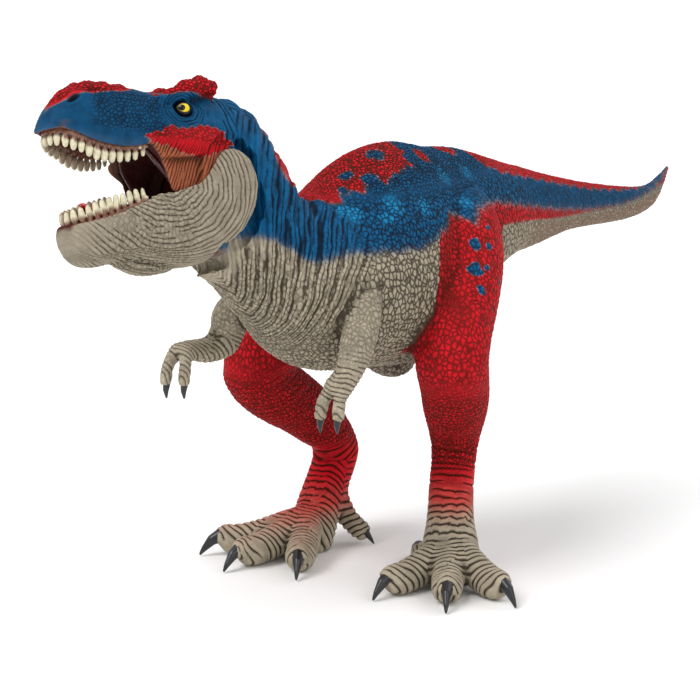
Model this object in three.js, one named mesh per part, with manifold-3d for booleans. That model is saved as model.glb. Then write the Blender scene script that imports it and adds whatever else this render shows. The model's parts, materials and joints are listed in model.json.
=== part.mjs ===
// A moulded toy theropod with a hinged lower jaw, in millimetres, +Z up, nose towards -Y.
// Its mouldings plug together: trunk, tail, head, jaw, limbs, claws, tooth strips, eyes and tongue.
import * as THREE from "three";
import { mergeVertices } from "three/addons/utils/BufferGeometryUtils.js";
import Module from "manifold-3d";

// Driving sizes of the trunk and tail
const trunkLength = 100; // breast to tail root
const trunkWidth = 50; // across the ribs
const shoulderHeight = 100; // sole to shoulder blade
const tailLength = 120; // tail root to tip
const tailThickness = 26; // top to underside at the root

// Driving sizes of the head and jaw
const headLength = 50; // lip to collar seam
const headWidth = 26; // across the jaw lobes
const headHeight = 20; // lip to brow
const jawLength = 50; // chin to the back of the lobe
const jawDepth = 20; // rim to throat
const foldDepth = 0.9; // of the skin folds round neck and breast
const headYaw = 14; // degrees, nose to the figure's right
const headPitch = 11; // degrees, nose up
const headRoll = 15; // degrees, left side up
const gape = 18; // degrees between shut and the moulded pose
const shutTravel = 15; // degrees the jaw swings up from the moulded pose
const openTravel = 2; // degrees the jaw swings further down

// Driving sizes of limbs, teeth and fittings
const legThickness = 20; // thigh, across
const armThickness = 10; // upper arm, across
const toeThickness = 9; // toe, across
const fingerThickness = 4; // finger, across
const toeClawLength = 9; // root to tip
const fingerClawLength = 4.5; // root to tip
const toothLength = 3.2; // gum to tip, upper row
const lowerToothLength = 2.9; // gum to tip, lower row
const toothWidth = 1.7; // along the gum
const gumHeight = 1.8; // of the rail that carries the teeth
const gumWidth = 1.5; // of the rail that carries the teeth
const eyeRadius = 2; // of the eyeball
const liningThickness = 1.2; // wall of the mouth lining
const tongueThickness = 2.4; // at its middle
const pinRadius = 1.5; // of the jaw pin
const pegRadius = 4; // of the plugs that join trunk, tail, head and legs
const pegLength = 9; // that a plug reaches into its socket
const armPegRadius = 2; // of the plugs that join the arms
const fitGap = 0.3; // clearance between mouldings
const trimReach = 120; // how far a trimming block reaches past what it trims
const tipRounding = 2; // dome at the end of toes, fingers and tongue
const lipRounding = 0.8; // dome at the front of the skull

// Counts of sides, stops and teeth
const trunkSides = 26;
const headSides = 20;
const tailSides = 20;
const limbSides = 14;
const digitSides = 8;
const clawSides = 6;
const toothSides = 5;
const railSides = 4;
const railSquareness = 10;
const upperTeeth = 26;
const lowerTeeth = 24;
const sweepStops = 4;

const wasm = await Module();
wasm.setup();
const radians = THREE.MathUtils.degToRad;
const vector = (x, y, z) => new THREE.Vector3(x, y, z);

// Solids from geometries, and back

function solidOf(geometry) {
  geometry.deleteAttribute("normal");
  geometry.deleteAttribute("uv");
  const merged = mergeVertices(geometry);
  const vertProperties = new Float32Array(merged.attributes.position.array);
  const triVerts = new Uint32Array(merged.index.array);
  return new wasm.Manifold(new wasm.Mesh({ numProp: 3, vertProperties, triVerts }));
}

function geometryOf(solid) {
  const { numProp, vertProperties, triVerts } = solid.getMesh();
  const count = vertProperties.length / numProp;
  const position = new Float32Array(count * 3);
  for (let i = 0; i < count; i++) {
    position.set(vertProperties.subarray(i * numProp, i * numProp + 3), i * 3);
  }
  const geometry = new THREE.BufferGeometry();
  geometry.setAttribute("position", new THREE.BufferAttribute(position, 3));
  geometry.setIndex(new THREE.BufferAttribute(new Uint32Array(triVerts), 1));
  geometry.computeVertexNormals();
  return geometry;
}

const joined = (solids) => solids.reduce((sum, next) => sum.add(next));

// The largest body of a cut solid, without the loose slivers of the cut.
const mainBody = (solid) => solid.decompose().reduce((a, b) => (b.volume() > a.volume() ? b : a));

// A point on the smooth curve through b and c, with a and d on either side.
function blend(a, b, c, d, t) {
  const bend = (2 * a - 5 * b + 4 * c - d) * t ** 2 + (3 * b - a - 3 * c + d) * t ** 3;
  return (2 * b + (c - a) * t + bend) / 2;
}

// Rows between the given rows, on a smooth curve through every number of a row.
function smoothRows(rows, steps) {
  const row = (i) => rows[Math.min(Math.max(i, 0), rows.length - 1)];
  const result = [];
  for (let i = 0; i < rows.length - 1; i++) {
    for (let s = 0; s < steps; s++) {
      const t = s / steps;
      result.push(row(i).map((v, k) => blend(row(i - 1)[k], v, row(i + 1)[k], row(i + 2)[k], t)));
    }
  }
  result.push(row(rows.length - 1));
  return result;
}

// Rings of a loft from its rows. A row holds the ring's top point, its bottom point, its half width,
// its squareness (2 is an ellipse) and its taper (negative is narrower at the top).
function ringsOf(rows, steps, grow) {
  const spine = smoothRows(rows, steps).map(([tx, ty, tz, bx, by, bz, half, square = 2, taper = 0]) => {
    const top = vector(tx, ty, tz);
    const bottom = vector(bx, by, bz);
    const reach = top.distanceTo(bottom) / 2 + grow;
    const up = top.clone().sub(bottom).normalize();
    return { centre: top.clone().lerp(bottom, 1 / 2), up, reach, half: half + grow, square, taper };
  });
  return spine.map((ring, i) => {
    const before = spine[Math.max(i - 1, 0)].centre;
    const after = spine[Math.min(i + 1, spine.length - 1)].centre;
    const along = after.clone().sub(before).normalize();
    return { ...ring, along, side: ring.up.clone().cross(along).normalize() };
  });
}

// How far round a dome its rings lie.
const domeShares = [0.5, 0.88];

// The ring at one end, carried on as a dome of the given length, or pushed out flat by the growth.
function endRings(ring, length, grow, sign) {
  const moved = (distance) => ring.centre.clone().addScaledVector(ring.along, sign * distance);
  if (!length) return grow ? [{ ...ring, centre: moved(grow) }] : [];
  return domeShares.map((share) => {
    const angle = (share * Math.PI) / 2;
    const narrowing = Math.cos(angle);
    const centre = moved((length + grow) * Math.sin(angle));
    return { ...ring, centre, half: ring.half * narrowing, reach: ring.reach * narrowing };
  });
}

// A closed body over rings.
function loft(rows, options = {}) {
  const { sides = limbSides, steps = 2, grow = 0, noseLength = 0, endLength = 0, phase = 0 } = options;
  const middle = ringsOf(rows, steps, grow);
  const nose = endRings(middle[0], noseLength, grow, -1).reverse();
  const end = endRings(middle[middle.length - 1], endLength, grow, 1);
  const rings = [...nose, ...middle, ...end];
  const position = [];
  for (const { centre, up, side, reach, half, square, taper } of rings) {
    for (let i = 0; i < sides; i++) {
      const angle = (2 * Math.PI * (i + phase)) / sides;
      const u = Math.sign(Math.cos(angle)) * Math.abs(Math.cos(angle)) ** (2 / square);
      const v = Math.sign(Math.sin(angle)) * Math.abs(Math.sin(angle)) ** (2 / square);
      const point = centre.clone().addScaledVector(side, u * half * (1 + taper * v));
      position.push(...point.addScaledVector(up, v * reach));
    }
  }
  const index = [];
  for (let k = 0; k < rings.length - 1; k++) {
    for (let i = 0; i < sides; i++) {
      const j = (i + 1) % sides;
      const [p, q] = [k * sides + i, k * sides + j];
      index.push(p, q, q + sides, p, q + sides, p + sides);
    }
  }
  const pole = rings.length * sides;
  position.push(...rings[0].centre, ...rings[rings.length - 1].centre);
  for (let i = 0; i < sides; i++) {
    const j = (i + 1) % sides;
    index.push(pole, j, i, pole + 1, pole - sides + i, pole - sides + j);
  }
  const geometry = new THREE.BufferGeometry();
  geometry.setAttribute("position", new THREE.Float32BufferAttribute(position, 3));
  geometry.setIndex(index);
  return solidOf(geometry);
}

// A tapered strand through points, each with its radius. Flatness is height over width.
function strand(points, radii, options = {}) {
  const { flatness = 1, facing = vector(0, 0, 1), sides = digitSides, square = 2, ...rest } = options;
  const rows = points.map((point, i) => {
    const before = points[Math.max(i - 1, 0)];
    const after = points[Math.min(i + 1, points.length - 1)];
    const along = after.clone().sub(before).normalize();
    const up = facing.clone().addScaledVector(along, -facing.dot(along)).normalize();
    const reach = radii[i] * flatness;
    const top = point.clone().addScaledVector(up, reach);
    const bottom = point.clone().addScaledVector(up, -reach);
    return [...top, ...bottom, radii[i], square, 0];
  });
  return loft(rows, { sides, ...rest });
}

// A round bar between two points.
function bar(from, to, radius, { sides = limbSides, grow = 0 } = {}) {
  const along = to.clone().sub(from);
  const [size, length] = [radius + grow, along.length() + 2 * grow];
  const geometry = new THREE.CylinderGeometry(size, size, length, sides);
  const turn = new THREE.Quaternion().setFromUnitVectors(vector(0, 1, 0), along.clone().normalize());
  geometry.applyQuaternion(turn);
  geometry.translate(...from.clone().lerp(to, 1 / 2));
  return solidOf(geometry);
}

function ball(centre, radius, grow = 0) {
  const geometry = new THREE.SphereGeometry(radius + grow, limbSides, digitSides);
  geometry.translate(...centre);
  return solidOf(geometry);
}

function block(low, high) {
  const geometry = new THREE.BoxGeometry(...high.clone().sub(low));
  geometry.translate(...low.clone().lerp(high, 1 / 2));
  return solidOf(geometry);
}

// A side outline (back along Y, up along Z) carried across from one sideways place to another.
function sideCut(outline, from, to) {
  const shape = new THREE.Shape(outline.map(([y, z]) => new THREE.Vector2(y, z)));
  const geometry = new THREE.ExtrudeGeometry(shape, { depth: to - from, bevelEnabled: false });
  geometry.applyMatrix4(new THREE.Matrix4().makeBasis(vector(0, 1, 0), vector(0, 0, 1), vector(1, 0, 0)));
  geometry.translate(from, 0, 0);
  return solidOf(geometry);
}

// Frames: the figure's own, the head's and the jaw's

const place = ([x, y, z]) => vector(x * trunkWidth, y * trunkLength, z * shoulderHeight);
const inHead = ([x, y, z]) => vector(x * headWidth, y * headLength, z * headHeight);
const inJaw = ([x, y, z]) => vector(x * headWidth, y * jawLength, z * jawDepth);

const figure = new THREE.Group();
const headFrame = new THREE.Group();
const hingeShare = [0.12, -0.767, 1.077];
headFrame.position.copy(place(hingeShare));
headFrame.rotation.set(-radians(headPitch), -radians(headRoll), -radians(headYaw), "ZXY");
headFrame.updateMatrix();
const jawFrame = new THREE.Group();
jawFrame.rotation.x = radians(gape);
jawFrame.updateMatrix();
figure.add(headFrame);
headFrame.add(jawFrame);
const headToFigure = (solid) => solid.transform(headFrame.matrix.elements);

const colours = {
  back: 0x1f6ea3,
  leg: 0xb3262b,
  hide: 0x9c9382,
  claw: 0x1c1d20,
  tooth: 0xe8dfc0,
  mouth: 0x4a1010,
  tongue: 0xb01c22,
  eye: 0xe3c21a,
  pin: 0x8a8d90,
};

function piece(name, solid, color, roughness = 0.55, parent = figure) {
  const material = new THREE.MeshStandardMaterial({ color, roughness, metalness: 0 });
  const mesh = new THREE.Mesh(geometryOf(solid), material);
  mesh.name = name;
  parent.add(mesh);
}

// Trunk and neck

// From the collar to the tail root: sideways place, back, belly, half width, squareness, taper.
const trunkShares = [
  [0.1, -0.7, 1.3, -0.84, 0.905, 0.235, 2.2, 0],
  [0.13, -0.6, 1.25, -0.82, 0.885, 0.255, 2.1, -0.04],
  [0.18, -0.525, 1.14, -0.735, 0.835, 0.28, 1.95, -0.08],
  [0.23, -0.475, 1.035, -0.65, 0.745, 0.335, 1.95, -0.12],
  [0.28, -0.385, 1.055, -0.575, 0.65, 0.4, 1.85, -0.18],
  [0.3, -0.245, 1.125, -0.455, 0.585, 0.475, 1.82, -0.24],
  [0.29, -0.1, 1.135, -0.245, 0.56, 0.485, 1.88, -0.24],
  [0.265, 0.04, 1.105, -0.05, 0.55, 0.44, 2.05, -0.22],
  [0.24, 0.18, 1.09, 0.14, 0.67, 0.36, 2.1, -0.16],
  [0.23, 0.36, 1.042, 0.36, 0.74, 0.26, 2.1, -0.1],
  [0.21, 0.48, 1.01, 0.48, 0.755, 0.2, 2.1, -0.05],
];
const trunkRow = ([x, ty, tz, by, bz, half, square, taper]) => [
  ...place([x, ty, tz]),
  ...place([x, by, bz]),
  half * trunkWidth,
  square,
  taper,
];
const trunkRows = trunkShares.map(trunkRow);
// How deep the folds are at each row from the collar, how many lie between two rows, and rings per fold.
const foldShares = [0.7, 1, 1, 1, 0.7, 0];
const foldsPerRow = 2;
const foldRings = 4;

// The rows and the rings between them: back and sides dip at each fold's groove, the belly doesn't.
function foldedRows(rows) {
  const steps = foldsPerRow * foldRings;
  const lastFold = (foldShares.length - 1) * steps;
  return smoothRows(rows, steps).flatMap((row, i) => {
    if (i >= lastFold) return i % foldRings ? [] : [row];
    const [before, after] = foldShares.slice(Math.floor(i / steps));
    const depth = THREE.MathUtils.lerp(before, after, (i % steps) / steps) * foldDepth;
    const dip = depth * (1 - Math.abs(Math.cos((Math.PI * i) / foldRings)));
    const [tx, ty, tz, bx, by, bz, half, ...rest] = row;
    const top = vector(tx, ty, tz);
    const down = vector(bx, by, bz).sub(top).normalize();
    return [[...top.addScaledVector(down, dip), bx, by, bz, half - dip, ...rest]];
  });
}

const trunk = (grow) => loft(foldedRows(trunkRows), { sides: trunkSides, steps: 1, grow });
const keelShares = [
  [0.25, -0.17, 0.58, 0.2],
  [0.25, -0.1, 0.545, 0.22],
  [0.25, -0.04, 0.54, 0.23],
  [0.25, 0.02, 0.61, 0.2],
];
const keel = strand(keelShares.map(place), keelShares.map((row) => row[3] * legThickness));

// Tail

// From the root: back along, sideways, top and underside from the root's middle, half width.
const tailShares = [
  [0, 0, 0.5, -0.5, 0.385],
  [0.11, -0.008, 0.365, -0.47, 0.346],
  [0.27, -0.025, 0.195, -0.42, 0.27],
  [0.435, -0.046, 0.045, -0.46, 0.22],
  [0.61, -0.0625, -0.09, -0.505, 0.17],
  [0.75, -0.083, -0.17, -0.49, 0.13],
  [0.85, -0.104, -0.155, -0.38, 0.085],
  [0.96, -0.13, -0.035, -0.075, 0.02],
];
const rootRow = trunkRows[trunkRows.length - 1];
const tailRoot = vector(...rootRow.slice(0, 3)).lerp(vector(...rootRow.slice(3, 6)), 1 / 2);
const tailRows = tailShares.map(([y, x, top, bottom, half]) => {
  const centre = tailRoot.clone().add(vector(x * tailLength, y * tailLength + fitGap, 0));
  const upper = centre.clone().add(vector(0, 0, top * tailThickness));
  const lower = centre.clone().add(vector(0, 0, bottom * tailThickness));
  return [...upper, ...lower, half * tailThickness, 2.1, 0];
});
const tailPeg = (grow) =>
  bar(
    tailRoot.clone().add(vector(0, pegRadius, 0)),
    tailRoot.clone().add(vector(0, -pegLength, 0)),
    pegRadius,
    { sides: digitSides, grow },
  );

// Legs

// A limb's rows turn with the limb: centre, depth, half width and the pitch of its front in degrees.
function limbRows(shares, heading, thickness) {
  return shares.map(([x, y, z, depth, half, pitch]) => {
    const front = forward(heading).multiplyScalar(Math.cos(radians(pitch)));
    front.z = Math.sin(radians(pitch));
    const reach = (depth * thickness) / 2;
    const top = place([x, y, z]).addScaledVector(front, reach);
    const bottom = place([x, y, z]).addScaledVector(front, -reach);
    return [...top, ...bottom, half * thickness, 2.1, 0];
  });
}
const forward = (heading) => vector(Math.sin(radians(heading)), -Math.cos(radians(heading)), 0);

// From the hip to the sole.
const leftLegShares = [
  [0.43, 0.05, 0.98, 1.3, 0.4, 0],
  [0.51, 0.03, 0.92, 1.65, 0.54, 0],
  [0.59, -0.005, 0.83, 1.75, 0.58, 0],
  [0.685, -0.09, 0.74, 1.42, 0.57, 10],
  [0.775, -0.17, 0.655, 1.12, 0.52, 18],
  [0.82, -0.2, 0.59, 0.98, 0.48, 0],
  [0.765, -0.148, 0.52, 1.0, 0.46, -15],
  [0.68, -0.085, 0.445, 0.9, 0.43, -22],
  [0.6, -0.03, 0.37, 0.7, 0.36, -15],
  [0.59, -0.025, 0.31, 0.62, 0.31, 0],
  [0.63, -0.065, 0.23, 0.6, 0.3, 15],
  [0.69, -0.11, 0.145, 0.62, 0.32, 15],
  [0.72, -0.13, 0.08, 0.75, 0.39, 8],
  [0.73, -0.14, -0.02, 0.8, 0.42, 0],
];
const rightLegShares = [
  [0.04, 0.08, 1.02, 1.3, 0.4, 0],
  [-0.02, 0.06, 0.94, 1.6, 0.53, 0],
  [-0.08, 0.0, 0.84, 1.7, 0.57, 5],
  [-0.13, -0.09, 0.75, 1.5, 0.57, 15],
  [-0.182, -0.197, 0.665, 1.22, 0.52, 25],
  [-0.247, -0.292, 0.585, 1.1, 0.46, 15],
  [-0.27, -0.315, 0.52, 1.05, 0.44, -15],
  [-0.26, -0.25, 0.455, 0.97, 0.42, -35],
  [-0.25, -0.14, 0.385, 0.85, 0.38, -38],
  [-0.245, -0.05, 0.31, 0.72, 0.35, -28],
  [-0.244, -0.003, 0.25, 0.64, 0.32, 0],
  [-0.235, -0.034, 0.187, 0.62, 0.31, 15],
  [-0.213, -0.093, 0.117, 0.64, 0.33, 15],
  [-0.196, -0.134, 0.057, 0.62, 0.34, 8],
  [-0.19, -0.157, -0.02, 0.5, 0.3, 0],
];

// Toes: name, heading in degrees towards the figure's left, reach of the claw tip, size, how steeply
// the toe comes down from the ankle, and the row it starts from, counted from the sole.
const leftToeShares = [
  ["inner", -8, 0.285, 1, 0, 1],
  ["middle", 34, 0.305, 1, 0, 1],
  ["outer", 69.5, 0.303, 1, 0.25, 1],
  ["rear", -118, 0.235, 0.68, 0.5, 1],
];
const rightToeShares = [
  ["inner", 32.5, 0.3, 1, 0, 1],
  ["middle", -7, 0.317, 1, 0, 1],
  ["outer", -39, 0.305, 1, 0, 1],
  ["rear", 97, 0.142, 0.68, 2.2, 4],
];
const toeFlatness = 1.05;
const clawFlatness = 1.15;
// Along a toe: share of its reach, height, radius.
const toeShares = [
  [0, 0.085, 0.5],
  [0.25, 0.065, 0.5],
  [0.48, 0.045, 0.5],
  [0.7, 0.04, 0.46],
];
// Along a claw from its root: share of its length, height, radius.
const clawShares = [
  [-0.15, 0.058, 0.19],
  [0, 0.06, 0.24],
  [0.3, 0.056, 0.21],
  [0.6, 0.043, 0.15],
  [0.84, 0.02, 0.08],
  [0.97, 0.004, 0.03],
];

const toeRoot = (shares, row) => place([...shares[shares.length - row[5]].slice(0, 2), 0]);

function toe(root, [, heading, reach, size, steepness]) {
  const length = reach * trunkLength;
  const points = toeShares.map(([along, height]) => {
    const rise = height * shoulderHeight * size * (1 + steepness * (1 - along) ** 2);
    return root.clone().addScaledVector(forward(heading), along * length).setZ(rise);
  });
  const radii = toeShares.map(([, , radius]) => radius * toeThickness * size);
  return strand(points, radii, { flatness: toeFlatness, endLength: tipRounding });
}

function toeClaw(root, [, heading, reach, size], grow = 0) {
  const start = reach * trunkLength - toeClawLength * size;
  const points = clawShares.map(([along, height]) => {
    const distance = start + along * toeClawLength * size;
    return root.clone().addScaledVector(forward(heading), distance).setZ(height * shoulderHeight * size);
  });
  const radii = clawShares.map(([, , radius]) => radius * toeThickness * size);
  return strand(points, radii, { flatness: clawFlatness, steps: 1, grow });
}

const ground = block(vector(-trimReach, -trimReach, -trimReach), vector(trimReach, trimReach, 0));

function leg(side, shares, heading, toes, hipShare) {
  const limb = loft(limbRows(shares, heading, legThickness));
  const skin = joined([limb, ...toes.map((row) => toe(toeRoot(shares, row), row))]);
  const claws = toes.map((row) => toeClaw(toeRoot(shares, row), row, fitGap));
  const cut = joined([trunk(fitGap), ground, ...claws]);
  piece(side + "_leg", mainBody(skin.subtract(cut)).add(plug(hipShare, 0)), colours.leg);
  for (const row of toes) {
    const claw = toeClaw(toeRoot(shares, row), row).subtract(ground);
    piece(side + "_" + row[0] + "_toe_claw", claw, colours.claw, 0.25);
  }
}

// A plug from inside a limb into the trunk: the two ends of its axis.
const leftHip = [[0.76, 0.01, 0.8], [0.46, 0.01, 0.8]];
const rightHip = [[-0.24, -0.02, 0.82], [0.08, -0.02, 0.82]];
const leftShoulder = [[0.74, -0.5, 0.75], [0.5, -0.44, 0.79]];
const rightShoulder = [[-0.14, -0.515, 0.69], [0.14, -0.45, 0.76]];
function plug([outer, inner], grow, radius = pegRadius) {
  return bar(place(outer), place(inner), radius, { sides: digitSides, grow });
}

// Arms

const leftArmShares = [
  [0.56, -0.43, 0.86, 0.7, 0.3, 0],
  [0.65, -0.46, 0.8, 1.1, 0.48, 0],
  [0.7, -0.5, 0.735, 1.1, 0.48, 0],
  [0.725, -0.535, 0.68, 0.85, 0.44, 5],
  [0.73, -0.56, 0.64, 0.7, 0.36, 25],
  [0.715, -0.577, 0.61, 0.6, 0.34, 30],
  [0.69, -0.596, 0.587, 0.55, 0.4, 25],
];
const rightArmShares = [
  [0.04, -0.46, 0.82, 0.8, 0.3, 0],
  [-0.02, -0.52, 0.76, 1.1, 0.46, 0],
  [-0.125, -0.52, 0.69, 1.05, 0.5, 15],
  [-0.165, -0.52, 0.64, 0.88, 0.44, 45],
  [-0.185, -0.57, 0.625, 0.68, 0.37, 85],
  [-0.19, -0.63, 0.635, 0.55, 0.34, 88],
  [-0.19, -0.672, 0.635, 0.55, 0.38, 65],
];
// Fingers: name and the points of the finger from the palm, the last one at the claw's root.
const leftFingers = [
  ["inner", [[0.66, -0.59, 0.59], [0.625, -0.605, 0.555], [0.62, -0.608, 0.522]]],
  ["outer", [[0.72, -0.595, 0.59], [0.745, -0.615, 0.56], [0.74, -0.617, 0.53]]],
];
const rightFingers = [
  ["inner", [[-0.15, -0.665, 0.64], [-0.12, -0.69, 0.605], [-0.12, -0.692, 0.57]]],
  ["outer", [[-0.22, -0.66, 0.64], [-0.255, -0.68, 0.6], [-0.26, -0.681, 0.56]]],
];
const fingerRadiusShares = [0.5, 0.42, 0.44];
// Down a finger's claw: forward, up and radius.
const fingerClawShares = [
  [0, 0.25, 0.24],
  [0, -0.1, 0.28],
  [0.1, -0.55, 0.2],
  [0.05, -1, 0.06],
];

function finger([, shares]) {
  const radii = fingerRadiusShares.map((share) => share * fingerThickness);
  return strand(shares.map(place), radii, { facing: vector(0, -1, 0), endLength: tipRounding / 2 });
}

function fingerClaw([, shares], grow = 0) {
  const root = place(shares[shares.length - 1]);
  const points = fingerClawShares.map(([ahead, up]) =>
    root.clone().add(vector(0, -ahead * fingerClawLength, up * fingerClawLength)),
  );
  const radii = fingerClawShares.map((row) => row[2] * fingerThickness);
  return strand(points, radii, { facing: vector(0, -1, 0), sides: clawSides, steps: 1, grow });
}

function arm(side, shares, heading, fingers, shoulder) {
  const limb = loft(limbRows(shares, heading, armThickness), { endLength: tipRounding / 2 });
  const skin = joined([limb, ...fingers.map((row) => finger(row))]);
  const cut = joined([trunk(fitGap), ...fingers.map((row) => fingerClaw(row, fitGap))]);
  piece(side + "_arm", mainBody(skin.subtract(cut)).add(plug(shoulder, 0, armPegRadius)), colours.hide);
  for (const row of fingers) {
    piece(side + "_" + row[0] + "_finger_claw", fingerClaw(row), colours.claw, 0.25);
  }
}

// Skull

// Top, bottom, half width, squareness and taper of each ring, from the lip to the collar seam.
const skullShares = [
  [-0.885, 0.52, -0.885, 0.3, 0.12, 2.2, -0.1],
  [-0.855, 0.7, -0.855, 0.2, 0.185, 2.3, -0.16],
  [-0.79, 0.91, -0.79, 0.1, 0.245, 2.4, -0.2],
  [-0.72, 1.04, -0.72, 0.0, 0.285, 2.5, -0.2],
  [-0.62, 1.1, -0.62, -0.1, 0.325, 2.6, -0.18],
  [-0.5, 1.1, -0.5, -0.2, 0.365, 2.6, -0.14],
  [-0.42, 1.07, -0.42, -0.3, 0.39, 2.6, -0.1],
  [-0.34, 1.05, -0.34, -0.36, 0.42, 2.5, -0.07],
  [-0.24, 1.08, -0.24, -0.4, 0.45, 2.4, -0.06],
  [-0.14, 1.12, -0.14, -0.4, 0.465, 2.4, -0.05],
  [-0.04, 1.14, -0.04, -0.4, 0.46, 2.4, -0.02],
  [0.07, 1.11, 0.07, -0.4, 0.455, 2.3, 0],
];
// The hollow of the mouth in the skull: roof, floor (open below), half width.
const hollowShares = [
  [-0.84, 0.46, -0.84, -0.9, 0.09, 2.4, 0],
  [-0.79, 0.48, -0.79, -0.9, 0.165, 2.6, 0],
  [-0.71, 0.49, -0.71, -0.9, 0.215, 2.8, 0],
  [-0.6, 0.49, -0.6, -0.9, 0.26, 3, 0],
  [-0.48, 0.48, -0.48, -0.9, 0.295, 3, 0],
  [-0.38, 0.46, -0.38, -0.9, 0.33, 3, 0],
  [-0.28, 0.42, -0.28, -0.9, 0.35, 3, 0],
  [-0.18, 0.34, -0.18, -0.9, 0.35, 3, 0],
  [-0.12, 0.22, -0.12, -0.9, 0.32, 3, 0],
];
const sagittalRow = (at, height) => ([ty, tz, by, bz, half, square, taper]) => [
  ...at([0, ty, tz]),
  ...at([0, by, bz]),
  half * height,
  square,
  taper,
];
const headRow = sagittalRow(inHead, headWidth);
const hollow = (grow) => loft(hollowShares.map(headRow), { steps: 1, grow });
// Everything below the lip and in front of the cheek skin.
const lipShares = [
  [-1.2, 0.41],
  [-0.9, 0.41],
  [-0.84, 0.44],
  [-0.78, 0.41],
  [-0.71, 0.34],
  [-0.64, 0.3],
  [-0.56, 0.28],
  [-0.48, 0.3],
  [-0.4, 0.345],
  [-0.355, 0.22],
  [-0.32, 0.07],
  [-0.295, -0.1],
  [-0.26, -0.3],
  [-0.26, -1.5],
  [-1.2, -1.5],
];
// The lining keeps only its roof in front of the cheek skin.
const liningTrimShares = [
  [-1.2, 0.405],
  [-0.41, 0.39],
  [-0.35, 0.14],
  [-0.3, 0],
  [-0.2, -0.34],
  [0.2, -0.34],
  [0.2, -1.5],
  [-1.2, -1.5],
];
const headOutline = (shares) => shares.map(([y, z]) => [y * headLength, z * headHeight]);

// Mirrored pairs on the skull: points with a radius share each.
const browShares = [
  [0.3, -0.33, 0.9, 0.05],
  [0.31, -0.25, 0.99, 0.085],
  [0.32, -0.17, 1.08, 0.1],
  [0.31, -0.09, 1.15, 0.1],
  [0.29, -0.02, 1.12, 0.08],
];
const cheekShares = [
  [0.36, -0.42, 0.42, 0.05],
  [0.375, -0.33, 0.43, 0.1],
  [0.385, -0.21, 0.42, 0.12],
  [0.385, -0.09, 0.46, 0.11],
  [0.38, -0.01, 0.5, 0.07],
];
const eyeShare = [0.352, -0.218, 0.81];
const mirrored = ([x, ...rest], sign) => [x * sign, ...rest];
const ridge = (shares, sign) =>
  strand(
    shares.map((row) => inHead(mirrored(row, sign))),
    shares.map((row) => row[3] * headWidth),
    { steps: 1 },
  );

// Tooth strips

const upperArcadeShares = [
  [0, -0.845, 0.44],
  [0.08, -0.84, 0.45],
  [0.15, -0.81, 0.44],
  [0.19, -0.765, 0.41],
  [0.22, -0.705, 0.365],
  [0.24, -0.64, 0.325],
  [0.265, -0.56, 0.3],
  [0.29, -0.48, 0.315],
  [0.315, -0.41, 0.35],
];
const lowerArcadeShares = [
  [0, -0.785, -0.06],
  [0.06, -0.78, -0.055],
  [0.115, -0.75, -0.05],
  [0.158, -0.7, -0.05],
  [0.19, -0.63, -0.045],
  [0.218, -0.55, -0.02],
  [0.245, -0.47, 0.015],
  [0.27, -0.4, 0.05],
];
// The size of each tooth from the front of the arcade to its back.
const toothSizeShares = [0.85, 0.95, 1, 1.05, 1, 1.1, 1.15, 1.1, 1.05, 0.95, 0.9, 0.8, 0.6];

// The line of the gum, from one corner of the mouth round the front to the other.
function arcade(shares, at) {
  const half = shares.slice(1).map((row) => at(mirrored(row, -1)));
  return new THREE.CatmullRomCurve3([...half.reverse(), ...shares.map(at)]);
}

function gumRail(shares, at, grow) {
  const points = arcade(shares, at).getSpacedPoints(2 * shares.length);
  const radii = points.map(() => gumWidth / 2);
  const flatness = gumHeight / gumWidth;
  const box = { sides: railSides, square: railSquareness, phase: 1 / 2 };
  return strand(points, radii, { flatness, steps: 1, grow, ...box });
}

// A rail along the gum with a tooth at each place, one body.
function toothStrip(shares, at, count, length, up) {
  const curve = arcade(shares, at);
  const teeth = Array.from({ length: count }, (_, i) => {
    const share = (i + 1 / 2) / count;
    const fromFront = Math.abs(2 * share - 1) * (toothSizeShares.length - 1);
    const size = toothSizeShares[Math.round(fromFront)];
    return tooth(curve.getPointAt(share), length * size, (toothWidth / 2) * size, up);
  });
  return joined([gumRail(shares, at, 0), ...teeth]);
}

// A blunt cone from the middle of the rail: radius and height of its outline.
const toothOutlineShares = [[0, 0], [0.7, 0], [1, 0.55], [0.65, 0.9], [0, 1]];

function tooth(root, length, radius, up) {
  const height = length + gumHeight / 2;
  const outline = toothOutlineShares.map(([r, h]) => new THREE.Vector2(r * radius, h * height));
  const geometry = new THREE.LatheGeometry(outline, toothSides);
  geometry.rotateX((up * Math.PI) / 2);
  geometry.translate(...root);
  return solidOf(geometry);
}

// Jaw, in its own frame, level when shut

// Rim, throat, half width, squareness and taper of each ring, from the chin to the back of the lobes.
const jawShares = [
  [-0.825, -0.1, -0.825, -0.3, 0.1, 2.2, 0],
  [-0.805, -0.01, -0.81, -0.43, 0.17, 2.4, 0.05],
  [-0.75, 0.01, -0.76, -0.54, 0.235, 2.6, 0.06],
  [-0.68, 0.02, -0.68, -0.59, 0.283, 2.7, 0.06],
  [-0.56, 0.045, -0.56, -0.6, 0.335, 2.7, 0.05],
  [-0.44, 0.11, -0.44, -0.7, 0.388, 2.8, 0.04],
  [-0.32, 0.2, -0.31, -0.82, 0.445, 2.9, 0.02],
  [-0.19, 0.22, -0.18, -0.88, 0.488, 3, 0],
  [-0.11, 0.27, -0.06, -0.86, 0.5, 3.2, 0],
  [-0.03, 0.43, 0.03, -0.77, 0.505, 3.4, 0],
  [0.05, 0.52, 0.1, -0.64, 0.5, 3.4, 0],
  [0.12, 0.46, 0.15, -0.5, 0.495, 3.2, 0],
  [0.17, 0.32, 0.18, -0.3, 0.48, 3, 0],
];
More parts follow.
